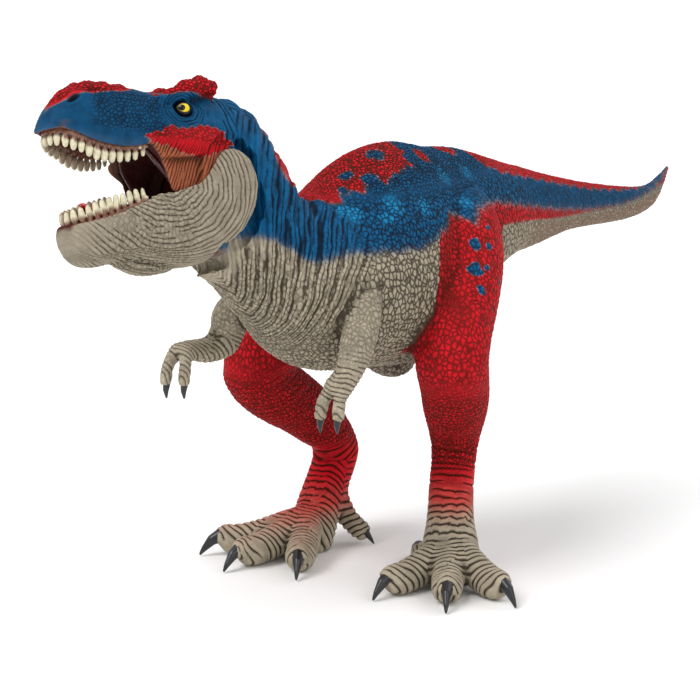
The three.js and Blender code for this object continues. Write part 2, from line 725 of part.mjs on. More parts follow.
// The trough that the tongue lies in and the skull fills at the back: top (open), floor, half width.
const mouthFloorShare = -0.24;
const troughShares = [
  [-0.77, 1, -0.77, -0.16, 0.06, 2.4, 0],
  [-0.73, 1, -0.73, -0.2, 0.13, 2.6, 0],
  [-0.66, 1, -0.66, mouthFloorShare, 0.18, 3, 0],
  [-0.54, 1, -0.54, mouthFloorShare, 0.225, 3, 0],
  [-0.44, 1, -0.44, mouthFloorShare, 0.27, 3, 0],
  [-0.36, 1, -0.36, -0.3, 0.34, 5, 0],
  [-0.28, 1, -0.28, -0.5, 0.4, 6, 0],
  [-0.18, 1, -0.18, -0.7, 0.42, 4, 0],
  [-0.08, 1, -0.08, -1.15, 0.43, 6, 0],
  [0.04, 1, 0.04, -1.3, 0.43, 6, 0],
  [0.3, 1, 0.3, -1.3, 0.43, 6, 0],
];
const pinEndShare = [0.46, 0, 0];
function pinBar(grow) {
  const ends = [-1, 1].map((sign) => inHead(mirrored(pinEndShare, sign)));
  return bar(...ends, pinRadius, { sides: digitSides, grow });
}
const jawRow = sagittalRow(inJaw, headWidth);
const jawShell = loft(jawShares.map(jawRow), { sides: headSides });
const trough = loft(troughShares.map(jawRow), { steps: 1 });
const dewlapShares = [
  [0, -0.58, -0.5, 0.1],
  [0, -0.5, -0.6, 0.14],
  [0, -0.4, -0.66, 0.16],
  [0, -0.28, -0.7, 0.14],
];
const dewlap = strand(dewlapShares.map(inJaw), dewlapShares.map((row) => row[3] * headWidth));
const tongueShares = [
  [0, -0.4, 0.01, 0.13],
  [0, -0.48, 0.015, 0.15],
  [0, -0.56, 0.03, 0.145],
  [0, -0.63, 0.1, 0.12],
  [0, -0.68, 0.24, 0.08],
];
const tongueBed = mouthFloorShare * jawDepth + tongueThickness / 2 + fitGap;
const tonguePoints = tongueShares.map((row) => inJaw(row).add(vector(0, 0, tongueBed)));
const tongueRadii = tongueShares.map((row) => row[3] * headWidth);
const tongue = strand(tonguePoints, tongueRadii, {
  flatness: tongueThickness / 2 / tongueRadii[1],
  noseLength: tipRounding / 2,
  endLength: tipRounding / 2,
});
const lowerRail = gumRail(lowerArcadeShares, inJaw, fitGap);
const jawCuts = [trough, lowerRail, pinBar(fitGap)];
const jawSolid = mainBody(jawShell.add(dewlap).subtract(joined(jawCuts)));

// Side outlines that hold the jaw with room to swing: its lobes, and its floor between them.
const lobeSpaceShares = [
  [-0.56, 0.12],
  [-0.32, 0.24],
  [-0.19, 0.26],
  [-0.11, 0.31],
  [-0.03, 0.47],
  [0.05, 0.56],
  [0.13, 0.5],
  [0.19, 0.34],
  [0.2, -0.32],
  [0.17, -0.54],
  [0.12, -0.68],
  [0.04, -0.82],
  [-0.06, -0.91],
  [-0.3, -0.95],
  [-0.56, -0.9],
];
const floorSpaceShares = [
  [-0.56, -0.19],
  [-0.36, -0.25],
  [-0.28, -0.45],
  [-0.18, -0.65],
  [-0.02, -0.9],
  [-0.02, -1],
  [-0.56, -1],
];
const lobeInnerShare = 0.415;
const wallInnerShare = 0.37;
const wallEndShare = -0.12;
const throatHalfShare = 0.27;
const jawOutline = (shares) => shares.map(([y, z]) => [y * jawLength, z * jawDepth]);
const lobeSpace = bothSides(jawOutline(lobeSpaceShares), lobeInnerShare * headWidth);
const wallFront = jawOutline([[-1, -1], [wallEndShare, -1], [wallEndShare, 1], [-1, 1]]);
const wallSpace = bothSides(jawOutline(lobeSpaceShares), wallInnerShare * headWidth)
  .intersect(sideCut(wallFront, -headWidth, headWidth));
const floorSpace = sideCut(jawOutline(floorSpaceShares), -headWidth, headWidth);
function bothSides(outline, inner) {
  return sideCut(outline, inner, headWidth).add(sideCut(outline, -headWidth, -inner));
}

// The space that a part of the jaw sweeps between its two stops, in the head's frame.
function swept(solid) {
  const stops = Array.from({ length: sweepStops }, (_, i) => {
    const angle = gape + openTravel - ((shutTravel + openTravel) * i) / (sweepStops - 1);
    return solid.transform(new THREE.Matrix4().makeRotationX(radians(angle)).elements);
  });
  return joined(stops);
}
const sweep = joined([lobeSpace, wallSpace, floorSpace].map(swept));

// Fittings of the head: neck plug, eyes, and the lining and teeth of the mouth
const neckPegShares = [[0, 0.2, 0.7], [0, -0.1, 0.7]];
const neckPeg = (grow) => bar(...neckPegShares.map(inHead), pegRadius, { sides: digitSides, grow });
const eyes = [1, -1].map((sign) => (grow) => ball(inHead(mirrored(eyeShare, sign)), eyeRadius, grow));
const lipCut = sideCut(headOutline(lipShares), -headWidth, headWidth);
const upperStrip = toothStrip(upperArcadeShares, inHead, upperTeeth, toothLength, -1);
const lowerStrip = toothStrip(lowerArcadeShares, inJaw, lowerTeeth, lowerToothLength, 1);
const upperRail = gumRail(upperArcadeShares, inHead, fitGap);
const liningTrim = sideCut(headOutline(liningTrimShares), -headWidth, headWidth);
const liningCuts = [hollow(-fitGap - liningThickness), liningTrim, sweep, upperRail];
const lining = mainBody(hollow(-fitGap).subtract(joined(liningCuts)));
const skull = joined([
  loft(skullShares.map(headRow), { sides: headSides, noseLength: lipRounding }),
  ...[1, -1].flatMap((sign) => [ridge(browShares, sign), ridge(cheekShares, sign)]),
]);
const sockets = [pinBar(fitGap), neckPeg(fitGap), ...eyes.map((eye) => eye(fitGap))];
const skullCuts = [lipCut, hollow(0), sweep, upperRail, ...sockets];
const head = mainBody(skull.subtract(joined(skullCuts)));

// The seat that the head's block fills at the front of the neck.
const seatShares = [[0.08, -0.42], [-2, -0.42], [-2, 3], [0.08, 3]];
const seat = sideCut(headOutline(seatShares), -headWidth, headWidth);
const throatSides = swept(bothSides(jawOutline(lobeSpaceShares), throatHalfShare * headWidth));
const neckCuts = headToFigure(joined([seat, sweep, throatSides]));
const plugs = [plug(leftHip, fitGap), plug(rightHip, fitGap)];
const armPlugs = [leftShoulder, rightShoulder].map((ends) => plug(ends, fitGap, armPegRadius));
const torso = trunk(0).add(keel).subtract(joined([neckCuts, tailPeg(fitGap), ...plugs, ...armPlugs]));

piece("head", head, colours.back, 0.5, headFrame);
piece("mouth_lining", lining, colours.mouth, 0.4, headFrame);
piece("upper_tooth_strip", upperStrip, colours.tooth, 0.3, headFrame);
piece("left_eye", eyes[0](0), colours.eye, 0.15, headFrame);
piece("right_eye", eyes[1](0), colours.eye, 0.15, headFrame);
piece("jaw_pin", pinBar(0), colours.pin, 0.35, headFrame);
piece("lower_jaw", jawSolid, colours.hide, 0.55, jawFrame);
piece("lower_tooth_strip", lowerStrip, colours.tooth, 0.3, jawFrame);
piece("tongue", tongue, colours.tongue, 0.3, jawFrame);
piece("torso", mainBody(torso).add(headToFigure(neckPeg(0))), colours.back);
const tail = mainBody(loft(tailRows, { sides: tailSides }).subtract(trunk(fitGap)));
piece("tail", tail.add(tailPeg(0)), colours.back);
leg("left", leftLegShares, 32, leftToeShares, leftHip);
leg("right", rightLegShares, -5, rightToeShares, rightHip);
arm("left", leftArmShares, 20, leftFingers, leftShoulder);
arm("right", rightArmShares, -8, rightFingers, rightShoulder);

// The figure stands over the origin, on the ground.
const bounds = new THREE.Box3().setFromObject(figure, true);
const middle = bounds.getCenter(vector(0, 0, 0));
figure.position.set(-middle.x, -middle.y, -bounds.min.z);
const toy = new THREE.Group();
toy.add(figure);

export default toy;
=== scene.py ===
"""A toy dinosaur figure with an open mouth and a swinging lower jaw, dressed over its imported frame."""

import json
import math

import bmesh
import bpy
import numpy as np
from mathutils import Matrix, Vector
from mathutils.bvhtree import BVHTree
from mathutils.kdtree import KDTree


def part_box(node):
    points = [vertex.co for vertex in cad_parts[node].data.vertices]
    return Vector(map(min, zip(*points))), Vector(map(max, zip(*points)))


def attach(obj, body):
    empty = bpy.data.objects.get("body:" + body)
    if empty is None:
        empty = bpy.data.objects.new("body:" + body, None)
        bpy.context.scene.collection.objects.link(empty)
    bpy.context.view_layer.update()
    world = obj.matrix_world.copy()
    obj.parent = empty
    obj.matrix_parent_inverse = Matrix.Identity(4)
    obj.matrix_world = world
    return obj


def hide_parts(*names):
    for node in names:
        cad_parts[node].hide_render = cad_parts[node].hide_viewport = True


bl_info = {
    "name": "Toy dinosaur figure",
    "version": (1, 0, 0),
    "blender": (4, 5, 0),
    "location": "3D View > Sidebar > Dinosaur",
    "description": "Skins, teeth, claws, eyes and stage of a toy dinosaur figure",
    "category": "Object",
}

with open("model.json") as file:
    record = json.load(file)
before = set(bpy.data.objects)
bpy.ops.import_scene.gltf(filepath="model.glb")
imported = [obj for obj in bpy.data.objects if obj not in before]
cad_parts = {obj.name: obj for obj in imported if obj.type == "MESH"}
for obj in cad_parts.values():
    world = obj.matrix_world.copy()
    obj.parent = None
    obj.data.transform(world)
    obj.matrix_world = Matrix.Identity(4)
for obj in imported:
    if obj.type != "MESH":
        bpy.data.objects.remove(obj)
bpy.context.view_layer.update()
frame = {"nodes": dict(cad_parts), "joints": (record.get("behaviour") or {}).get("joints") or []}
MM = 0.001

# The mid plane of the trunk and the axes of the head, which is turned, lifted and rolled about the jaw's hinge
MID_X = -6.025
HINGE = np.array(frame["joints"][0]["pos_m"]) / MM
HEAD_TURN = math.radians(14)
HEAD_LIFT = math.radians(11)
HEAD_LEFT = np.array(frame["joints"][0]["axis"])
HEAD_BACK = np.array(
    [math.sin(HEAD_TURN) * math.cos(HEAD_LIFT), math.cos(HEAD_TURN) * math.cos(HEAD_LIFT), -math.sin(HEAD_LIFT)]
)
HEAD_UP = np.cross(HEAD_LEFT, HEAD_BACK)
HEAD_AXES = np.array([HEAD_LEFT, HEAD_BACK, HEAD_UP])

# Sizes of what the skins are cut from and cut by, in mm
NECK_CUT = 3.6  # how far behind the hinge the head's skin ends
NECK_SPARE = 5  # how much further it is made before it is cut
TAIL_CUT = 21  # the y where the tail's skin begins
SHEATH = 0.75  # thickness of the skin round a toe claw
SHEATH_END = 0.2  # how far past the middle of the claw the skin reaches
ARM_CUTTER = 1.2  # how far the solids that cut off the arms and legs stand outside them
LEG_CUTTER = 3.2
CUTTER_GRAIN = 1.0
FAR = 200  # past every skin
CLAW_HALF = (9, 15, 9)  # past every claw, in its own axes

# Steps of smoothing that take the flats off each skin or piece
BODY_ROUNDING = 70
HEAD_ROUNDING = 26
TOOTH_ROUNDING = 5
CLAW_ROUNDING = 16
FLESH_ROUNDING = 14
MOST_TRIANGLES = 196000  # in one piece of skin

LIMBS = ("left_leg", "right_leg", "left_arm", "right_arm")
TOES = ("inner", "middle", "outer")
FINGERS = ("inner", "outer")
FIGURE = ("torso", "tail", "head", *LIMBS)
FIRST_LIMB = FIGURE.index(LIMBS[0])


# Sizes and colours that a user would change


def length(name, about, default):
    return bpy.props.FloatProperty(
        name=name, description=about, default=default, min=0, unit="LENGTH", precision=5
    )


def paint_colour(name, about, default):
    return bpy.props.FloatVectorProperty(
        name=name, description=about, default=default, size=3, min=0, max=1, subtype="COLOR"
    )


class DinosaurSizes(bpy.types.PropertyGroup):
    body_grain: length("Body mesh", "Edge length of the body's skin mesh", 0.0004)
    head_grain: length("Head mesh", "Edge length of the head and jaw mesh", 0.0003)
    tooth_grain: length("Tooth mesh", "Edge length of the teeth and claws", 0.00017)
    flesh_grain: length("Flesh mesh", "Edge length of the tongue and mouth lining", 0.000255)
    scale_size: length("Scale size", "Width of a scale on flank and thigh", 0.00125)
    pebble_size: length("Pebble size", "Width of the small scales", 0.00095)
    fold_width: length("Fold width", "Width of a skin fold on the neck", 0.0017)
    seam_fill: length("Seam fill", "How far skins grow to close the seams", 0.00022)


class DinosaurColours(bpy.types.PropertyGroup):
    belly: paint_colour("Belly", "Grey beige of jaw, throat, belly and feet", (0.335, 0.29, 0.215))
    back: paint_colour("Back", "Blue of neck, snout and tail", (0.003, 0.078, 0.19))
    patch: paint_colour("Patch", "Light blue of the patches in the blue", (0.008, 0.2, 0.42))
    legs: paint_colour("Legs", "Red of legs, saddle and crests", (0.5, 0.007, 0.014))
    flesh: paint_colour("Flesh", "Brown pink at the corner of the mouth", (0.3, 0.085, 0.04))
    mouth: paint_colour("Mouth", "Dark red inside the mouth", (0.06, 0.008, 0.007))
    tongue: paint_colour("Tongue", "Red of the tongue", (0.5, 0.01, 0.008))
    # Also the colour of the painted shade in broad hollows and creases
    wash_and_shade_colour: paint_colour("Wash", "Dark brown in grooves and creases", (0.03, 0.015, 0.006))
    tooth: paint_colour("Tooth", "Cream of the teeth", (0.72, 0.66, 0.46))
    claw: paint_colour("Claw", "Black of the claws", (0.008, 0.008, 0.011))
    iris: paint_colour("Iris", "Yellow of the eyes", (0.9, 0.68, 0.01))


class DinosaurStage(bpy.types.PropertyGroup):
    camera_turn: bpy.props.FloatProperty(
        name="Camera turn", description="Camera's turn round the figure", default=math.radians(38), subtype="ANGLE"
    )
    camera_rise: bpy.props.FloatProperty(
        name="Camera rise", description="Camera's height over the floor", default=math.radians(12), subtype="ANGLE"
    )
    camera_distance: length("Camera distance", "From the aim to the camera", 0.62)
    floor_reach: length("Floor reach", "From the middle of the floor to its edge", 3.0)
    focal_length: bpy.props.FloatProperty(
        name="Focal length", description="Lens of the camera", default=122.76, unit="CAMERA"
    )
    aim: bpy.props.FloatVectorProperty(
        name="Aim", description="What the camera looks at", default=(-0.006039, -0.047959, 0.06), subtype="TRANSLATION"
    )
    key_power: bpy.props.FloatProperty(
        name="Key light", description="Strength of the large soft light", default=2.1
    )
    sky: bpy.props.FloatProperty(name="Sky", description="Strength of the even light", default=0.55)


# Node trees written as expressions


class Wire:
    """A socket of a node tree. Sums and products of wires add Math nodes."""

    def __init__(self, plan, socket):
        self.plan = plan
        self.socket = socket

    def maths(self, operation, *others):
        return self.plan.add("ShaderNodeMath", {"operation": operation}, dict(enumerate((self, *others))))

    def __add__(self, other):
        return self.maths("ADD", other)

    __radd__ = __add__

    def __sub__(self, other):
        return self.maths("SUBTRACT", other)

    def __rsub__(self, other):
        return self.plan.add("ShaderNodeMath", {"operation": "SUBTRACT"}, {0: other, 1: self})

    def __mul__(self, other):
        return self.maths("MULTIPLY", other)

    __rmul__ = __mul__

    def __truediv__(self, other):
        return self.maths("DIVIDE", other)

    def larger(self, other):
        return self.maths("MAXIMUM", other)

    def step(self, low, high, interpolation="SMOOTHSTEP"):
        """0 below low, 1 above high, smooth in between."""
        return self.plan.add(
            "ShaderNodeMapRange",
            {"interpolation_type": interpolation},
            {"Value": self, "From Min": low, "From Max": high, "To Min": 0.0, "To Max": 1.0},
        )

    def part(self, index):
        return self.plan.add("ShaderNodeSeparateXYZ", {}, {0: self}, out=index)

    def vector(self, operation, other, out=0):
        return self.plan.add("ShaderNodeVectorMath", {"operation": operation}, {0: self, 1: other}, out=out)

    def times(self, amount):
        return self.plan.add("ShaderNodeVectorMath", {"operation": "SCALE"}, {0: self, "Scale": amount})


class Plan:
    """Adds nodes to one tree."""

    def __init__(self, tree):
        self.tree = tree

    def add(self, kind, settings=None, inputs=None, out=0):
        node = self.tree.nodes.new(kind)
        for name, value in (settings or {}).items():
            setattr(node, name, value)
        for name, value in (inputs or {}).items():
            if isinstance(value, Wire):
                self.tree.links.new(value.socket, node.inputs[name])
            else:
                node.inputs[name].default_value = value
        return Wire(self, node.outputs[out]) if node.outputs else node

    def mix(self, factor, first, second):
        """A colour between two. The node's sockets for colours are its inputs 6 and 7 and its output 2."""
        first, second = ((*c, 1) if isinstance(c, tuple) else c for c in (first, second))
        return self.add("ShaderNodeMix", {"data_type": "RGBA"}, {0: factor, 6: first, 7: second}, out=2)

    def noise(self, vector, scale, detail=2.0):
        return self.add("ShaderNodeTexNoise", {}, {"Vector": vector, "Scale": scale, "Detail": detail})

    def cells(self, vector, randomness):
        """The distance to the nearest edge between cells, about a unit wide each."""
        return self.add(
            "ShaderNodeTexVoronoi",
            {"feature": "DISTANCE_TO_EDGE"},
            {"Vector": vector, "Scale": 1.0, "Randomness": randomness},
        )


# For scales, pebbles, folds and pleats: how far a groove reaches from the edge, then the wash of a groove
# for each mm of its depth, and how far the wash reaches
GROOVE_REACH = (0.3, 0.34, 0.34, 0.4)
WASH = ((4.2, 0.2), (5.5, 0.28), (3.6, 0.15), (1.8, 0.12))


def skin_layers(plan, rest, flow, sizes):
    """How far a point is from the edge of its scale, pebble, fold and pleat, as shares of each one's size."""
    scale = rest.vector("DIVIDE", (sizes.scale_size / MM, sizes.scale_size / MM, 1.4 * sizes.scale_size / MM))
    pebble = rest.times(MM / sizes.pebble_size)
    warp = plan.noise(flow.vector("MULTIPLY", (0.2, 1.3, 1.0)), 1.0, 2.0) - 0.5
    fade = plan.noise(flow.vector("MULTIPLY", (0.6, 1.7, 1.0)), 1.0, 1.0)
    fold = (flow.part(0) + warp * 2.6).maths("PINGPONG", 0.5)
    pleat = (flow.part(0) * 0.42 + warp * 1.9).maths("PINGPONG", 0.5)
    return (plan.cells(scale, 0.85), plan.cells(pebble, 0.95), fold + fade.step(0.56, 0.72) * 0.32, pleat)


# Geometry Nodes trees


def geometry_tree(name, inputs):
    """A tree with a Geometry input, the named inputs and a Geometry output."""
    tree = bpy.data.node_groups.new(name, "GeometryNodeTree")
    tree.interface.new_socket(name="Geometry", in_out="INPUT", socket_type="NodeSocketGeometry")
    for socket, (kind, default) in inputs.items():
        made = tree.interface.new_socket(name=socket, in_out="INPUT", socket_type=kind)
        if default is not None:
            made.default_value = default
    tree.interface.new_socket(name="Geometry", in_out="OUTPUT", socket_type="NodeSocketGeometry")
    plan = Plan(tree)
    entry = tree.nodes.new("NodeGroupInput")
    return plan, {socket.name: Wire(plan, socket) for socket in entry.outputs if socket.name}


def finish_tree(plan, shape, material):
    shape = plan.add("GeometryNodeRealizeInstances", {}, {"Geometry": shape})
    shape = plan.add("GeometryNodeSetMaterial", {}, {"Geometry": shape, "Material": material})
    plan.add("NodeGroupOutput", {}, {"Geometry": shape})
    return plan.tree


def named(plan, name, kind="FLOAT"):
    return plan.add("GeometryNodeInputNamedAttribute", {"data_type": kind}, {"Name": name})


def blurred(plan, value, steps, weight, kind="FLOAT_VECTOR"):
    return plan.add(
        "GeometryNodeBlurAttribute",
        {"data_type": kind},
        {"Value": value, "Iterations": steps, "Weight": weight},
    )


def soften_tree():
    """Rounds the flats of a faceted shape and gives back the girth that this takes."""
    plan, entry = geometry_tree(
        "Soften",
        {"Steps": ("NodeSocketInt", 40), "Shrink": ("NodeSocketFloat", 0.0), "Finish": ("NodeSocketMaterial", None)},
    )
    soft = named(plan, "soft")
    place = plan.add("GeometryNodeInputPosition")
    normal = plan.add("GeometryNodeInputNormal")
    smooth = blurred(plan, place, entry["Steps"], soft)
    moved = smooth.vector("SUBTRACT", place)
    lost = moved.vector("DOT_PRODUCT", normal, out=1)
    lost = blurred(plan, lost, entry["Steps"], soft, "FLOAT")
    kept = normal.times(0 - lost - entry["Shrink"])
    shape = plan.add(
        "GeometryNodeSetPosition",
        {},
        {"Geometry": entry["Geometry"], "Position": smooth.vector("ADD", kept)},
    )
    return finish_tree(plan, shape, entry["Finish"])


def relief_tree(sizes):
    """Presses scales, pebbles, folds and pleats into a skin, as deep as its relief attributes say."""
    plan, entry = geometry_tree(
        "Relief",
        {
            "Depth": ("NodeSocketFloat", 1.0),
            "Hollow Steps": ("NodeSocketInt", 5),
            "Valley Steps": ("NodeSocketInt", 45),
            "Finish": ("NodeSocketMaterial", None),
        },
    )
    relief = named(plan, "relief", "FLOAT_VECTOR")
    layers = skin_layers(plan, named(plan, "rest", "FLOAT_VECTOR"), named(plan, "flow", "FLOAT_VECTOR"), sizes)
    strengths = (relief.part(0), relief.part(1), relief.part(2), named(plan, "pleat"))
    depth = 0.0
    for layer, strength, top in zip(layers, strengths, GROOVE_REACH):
        depth = depth + (1 - layer.step(0.0, top)) * strength
    normal = plan.add("GeometryNodeInputNormal")
    shape = plan.add(
        "GeometryNodeSetPosition",
        {},
        {"Geometry": entry["Geometry"], "Offset": normal.times(depth * entry["Depth"] * -MM)},
    )
    place = plan.add("GeometryNodeInputPosition")
    # How sunk each point lies below its neighbours, finely and broadly; the skin reads the broad one as painted shade
    for name in ("Hollow", "Valley"):
        sunk = blurred(plan, place, entry[f"{name} Steps"], 1.0).vector("SUBTRACT", place)
        shape = plan.add(
            "GeometryNodeStoreNamedAttribute",
            {"data_type": "FLOAT", "domain": "POINT"},
            {"Geometry": shape, "Name": name.lower(), "Value": sunk.vector("DOT_PRODUCT", normal, out=1) / MM},
        )
    return finish_tree(plan, shape, entry["Finish"])


def linked(name, mesh):
    """A new object in the scene."""
    thing = bpy.data.objects.new(name, mesh)
    bpy.context.scene.collection.objects.link(thing)
    return thing


def shaped(thing, tree, **inputs):
    """The object's mesh after a tree, as a plain mesh with no modifier left."""
    modifier = thing.modifiers.new(tree.name, "NODES")
    modifier.node_group = tree
    sockets = {item.name.replace(" ", "_").lower(): item.identifier for item in tree.interface.items_tree}
    for name, value in inputs.items():
        modifier[sockets[name]] = value
    return settled(thing)


def settled(thing):
    """Applies every modifier of an object."""
    depsgraph = bpy.context.evaluated_depsgraph_get()
    mesh = bpy.data.meshes.new_from_object(thing.evaluated_get(depsgraph))
    thing.modifiers.clear()
    old = thing.data
    thing.data = mesh
    bpy.data.meshes.remove(old)
    return thing


# Meshes from the frame's nodes


def fused(name, nodes, grow=0.0, extras=()):
    """One object with the merged copies of some nodes, each grown along its normals, and some extra shapes."""
    whole = bmesh.new()
    for extra in extras:
        whole.from_mesh(extra.data)
        discard(extra)
    for node in nodes:
        shape = bmesh.new()
        shape.from_mesh(frame["nodes"][node].data)
        bmesh.ops.remove_doubles(shape, verts=shape.verts, dist=1e-6)
        shape.normal_update()
        for vert in shape.verts:
            vert.co += vert.normal * grow
        grown = bpy.data.meshes.new("grown")
        shape.to_mesh(grown)
        shape.free()
        whole.from_mesh(grown)
        bpy.data.meshes.remove(grown)
    mesh = bpy.data.meshes.new(name)
    whole.to_mesh(mesh)
    whole.free()
    return linked(name, mesh)


def remeshed(thing, grain):
    """An even mesh over an object's closed shapes, joined where they meet."""
    modifier = thing.modifiers.new("Even", "REMESH")
    modifier.mode = "VOXEL"
    modifier.voxel_size = grain
    return settled(thing)


def numbers(mesh):
    """Points in mm and unit normals of a mesh."""
    points = np.empty(len(mesh.vertices) * 3, np.float32)
    mesh.vertices.foreach_get("co", points)
    normals = np.empty(len(mesh.vertices) * 3, np.float32)
    mesh.vertex_normals.foreach_get("vector", normals)
    return points.reshape(-1, 3).astype(float) / MM, normals.reshape(-1, 3).astype(float)


def put(mesh, name, values, domain="POINT"):
    """Stores numbers or vectors as an attribute."""
    values = np.asarray(values, np.float32)
    kind, slot = ("FLOAT_VECTOR", "vector") if values.ndim == 2 else ("FLOAT", "value")
    stored = mesh.attributes.get(name) or mesh.attributes.new(name, kind, domain)
    stored.data.foreach_set(slot, values.ravel())


def taken(mesh, name):
    """An attribute's values at the points."""
    stored = mesh.attributes[name]
    width, slot = (3, "vector") if stored.data_type == "FLOAT_VECTOR" else (1, "value")
    values = np.empty(len(mesh.vertices) * width, np.float32)
    stored.data.foreach_get(slot, values)
    return values.reshape(-1, 3) if width == 3 else values


def move(mesh, points):
    mesh.vertices.foreach_set("co", (points * MM).astype(np.float32).ravel())
    mesh.update()


def averaged(mesh, values, steps):
    """Values at the points, each mixed with its neighbours' some times over."""
    ends = np.empty(len(mesh.edges) * 2, np.int32)
    mesh.edges.foreach_get("vertices", ends)
    first, second = ends.reshape(-1, 2).T
    count = len(mesh.vertices)
    share = np.bincount(first, minlength=count) + np.bincount(second, minlength=count)
    for _ in range(steps):
        around = np.bincount(first, values[second], count) + np.bincount(second, values[first], count)
        values = (values + around / share) / 2
    return values


def owners(skin, nodes):
    """For each point of a skin, the place in nodes of the one whose surface is nearest."""
    corners, faces, owner = [], [], []
    for index, node in enumerate(nodes):
        mesh = frame["nodes"][node].data
        start = len(corners)
        corners.extend(v.co[:] for v in mesh.vertices)
        faces.extend([start + i for i in p.vertices] for p in mesh.polygons)
        owner.extend([index] * len(mesh.polygons))
    near = BVHTree.FromPolygons(corners, faces).find_nearest
    owner = np.array(owner)
    points, _ = numbers(skin)
    return owner[[near(p)[2] for p in (points * MM).tolist()]]


def cut(thing, cutter, operation):
    """Cuts an object by a closed one, keeping its attributes."""
    modifier = thing.modifiers.new("Cut", "BOOLEAN")
    modifier.operation = operation
    modifier.object = cutter
    modifier.solver = "MANIFOLD"
    return settled(thing)


def refilled(thing):
    """Gives the points that a cut made the paint of the nearest skin."""
    mesh = thing.data
    points, _ = numbers(mesh)
    made = np.linalg.norm(points - taken(mesh, "rest"), axis=1) > 3
    if made.any():
        low, high = points[made].min(axis=0) - 1, points[made].max(axis=0) + 1
        near = np.flatnonzero(~made & np.all((points > low) & (points < high), axis=1))
        tree = KDTree(len(near))
        for index in near:
            tree.insert(points[index], index)
        tree.balance()
        source = [tree.find(place)[1] for place in points[made]]
        for stored in mesh.attributes:
            if stored.domain == "POINT" and stored.data_type in ("FLOAT", "FLOAT_VECTOR") and not stored.is_internal:
                if stored.name != "position":
                    values = taken(mesh, stored.name)
                    values[made] = values[source]
                    put(mesh, stored.name, values)
    return thing


def thinned(thing, most):
    """Takes faces out where a skin is flattest, until it has no more triangles than some number."""
    mesh = thing.data
    triangles = len(mesh.loops) - 2 * len(mesh.polygons)
    if triangles > most:
        modifier = thing.modifiers.new("Thin", "DECIMATE")
        modifier.ratio = most / triangles
        settled(thing)
    thing.data.validate()
    return thing


def box(name, low, high, axes, origin):
    """A closed box between two corners in a turned frame, given in mm."""
    mesh = bpy.data.meshes.new(name)
    shape = bmesh.new()
    bmesh.ops.create_cube(shape, size=1)
    low, high = np.array(low, float), np.array(high, float)
    for vert in shape.verts:
        local = low + (np.array(vert.co) + 0.5) * (high - low)
        vert.co = Vector((origin + local @ axes) * MM)
    bmesh.ops.recalc_face_normals(shape, faces=shape.faces)
    shape.to_mesh(mesh)
    shape.free()
    return linked(name, mesh)


def headward(spare=0):
    """A box round all that lies before the neck's cut, or somewhat behind it."""
    return box("head_end", (-FAR, -FAR, -FAR), (FAR, NECK_CUT + spare, FAR), HEAD_AXES, HINGE)


def discard(thing):
    mesh = thing.data
    bpy.data.objects.remove(thing)
    bpy.data.meshes.remove(mesh)


def smooth_shading(thing):
    """Smooth faces, with flat faces and sharp edges where a piece was cut off."""
    mesh = thing.data
    count = len(mesh.polygons)
    outer = mesh.attributes.get("outer")
    skin = np.ones(count, np.float32)
    if outer:
        outer.data.foreach_get("value", skin)
    smooth = skin > 0.5
    mesh.polygons.foreach_set("use_smooth", smooth)
    if not smooth.all():
        loops = np.empty(len(mesh.loops), np.int32)
        mesh.loops.foreach_get("edge_index", loops)
        sizes = np.empty(count, np.int32)
        mesh.polygons.foreach_get("loop_total", sizes)
        of_cut = np.repeat(~smooth, sizes)
        sharp = np.zeros(len(mesh.edges), bool)
        sharp[loops[of_cut]] = True
        edge = mesh.attributes.get("sharp_edge") or mesh.attributes.new("sharp_edge", "BOOLEAN", "EDGE")
        edge.data.foreach_set("value", sharp)
    if outer:
        mesh.attributes.remove(outer)
    mesh.update()


def place_piece(thing, node, body, material):
    """Shades a finished piece, and lets it stand for its node."""
    smooth_shading(thing)
    thing.data.materials.clear()
    thing.data.materials.append(material)
    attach(thing, body)
    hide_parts(node)


# Fields over the skin: where its paint and its folds lie, all in mm


def columns(*values):
    return np.column_stack(values)


def unit(vector):
    return np.array(vector) / np.linalg.norm(vector)


def ramp(values, start, full):
    """0 at the start, 1 where full, smooth in between. It may rise or fall."""
    share = np.clip((values - start) / (full - start), 0, 1)
    return share * share * (3 - 2 * share)


def band(values, start, full, last, end):
    """1 from full to last, 0 before the start and past the end."""
    return ramp(values, start, full) * ramp(values, end, last)


def level(values, table):
    """A height read from a table of (place, height)."""
    return np.interp(values, *zip(*table))


def spot(points, centre, radius, edge=0.7):
    distance = np.linalg.norm(points - np.array(centre), axis=1)
    return ramp(distance, radius + edge, radius - edge)


def patch(flat, outline, edge=0.5):
    """1 inside a closed outline, 0 outside it, with a soft edge."""
    outline = np.array(outline, float)
    inside = np.zeros(len(flat), bool)
    nearest = np.full(len(flat), np.inf)
    for start, end in zip(outline, np.roll(outline, -1, axis=0)):
        along = end - start
        share = np.clip((flat - start) @ along / (along @ along), 0, 1)
        nearest = np.minimum(nearest, np.linalg.norm(flat - start - share[:, None] * along, axis=1))
        crosses = (start[1] > flat[:, 1]) != (end[1] > flat[:, 1])
        rise = along[1] or 1e-9
        inside ^= crosses & (flat[:, 0] < start[0] + (flat[:, 1] - start[1]) / rise * along[0])
    return ramp(np.where(inside, nearest, -nearest), -edge, edge)


def along_paths(points, paths):
    """How far along its nearest path each point lies, and how far round it."""
    nearest = np.full(len(points), np.inf)
    along, turned = np.zeros((2, len(points)))
    for path in paths:
        gone = 0.0
        for start, end in zip(path, path[1:]):
            reach = np.linalg.norm(end - start)
            heading = (end - start) / reach
            side = unit(np.cross(heading, (0, 1, 0)))
            offset = points - start
            share = offset @ heading
            away = offset - np.clip(share, 0, reach)[:, None] * heading
            distance = np.linalg.norm(away, axis=1)
            closer = distance < nearest
            turn = np.arctan2(away @ side, away @ np.cross(heading, side))
            along[closer] = (gone + share)[closer]
            turned[closer] = turn[closer]
            nearest[closer] = distance[closer]
            gone += reach
    return along, turned


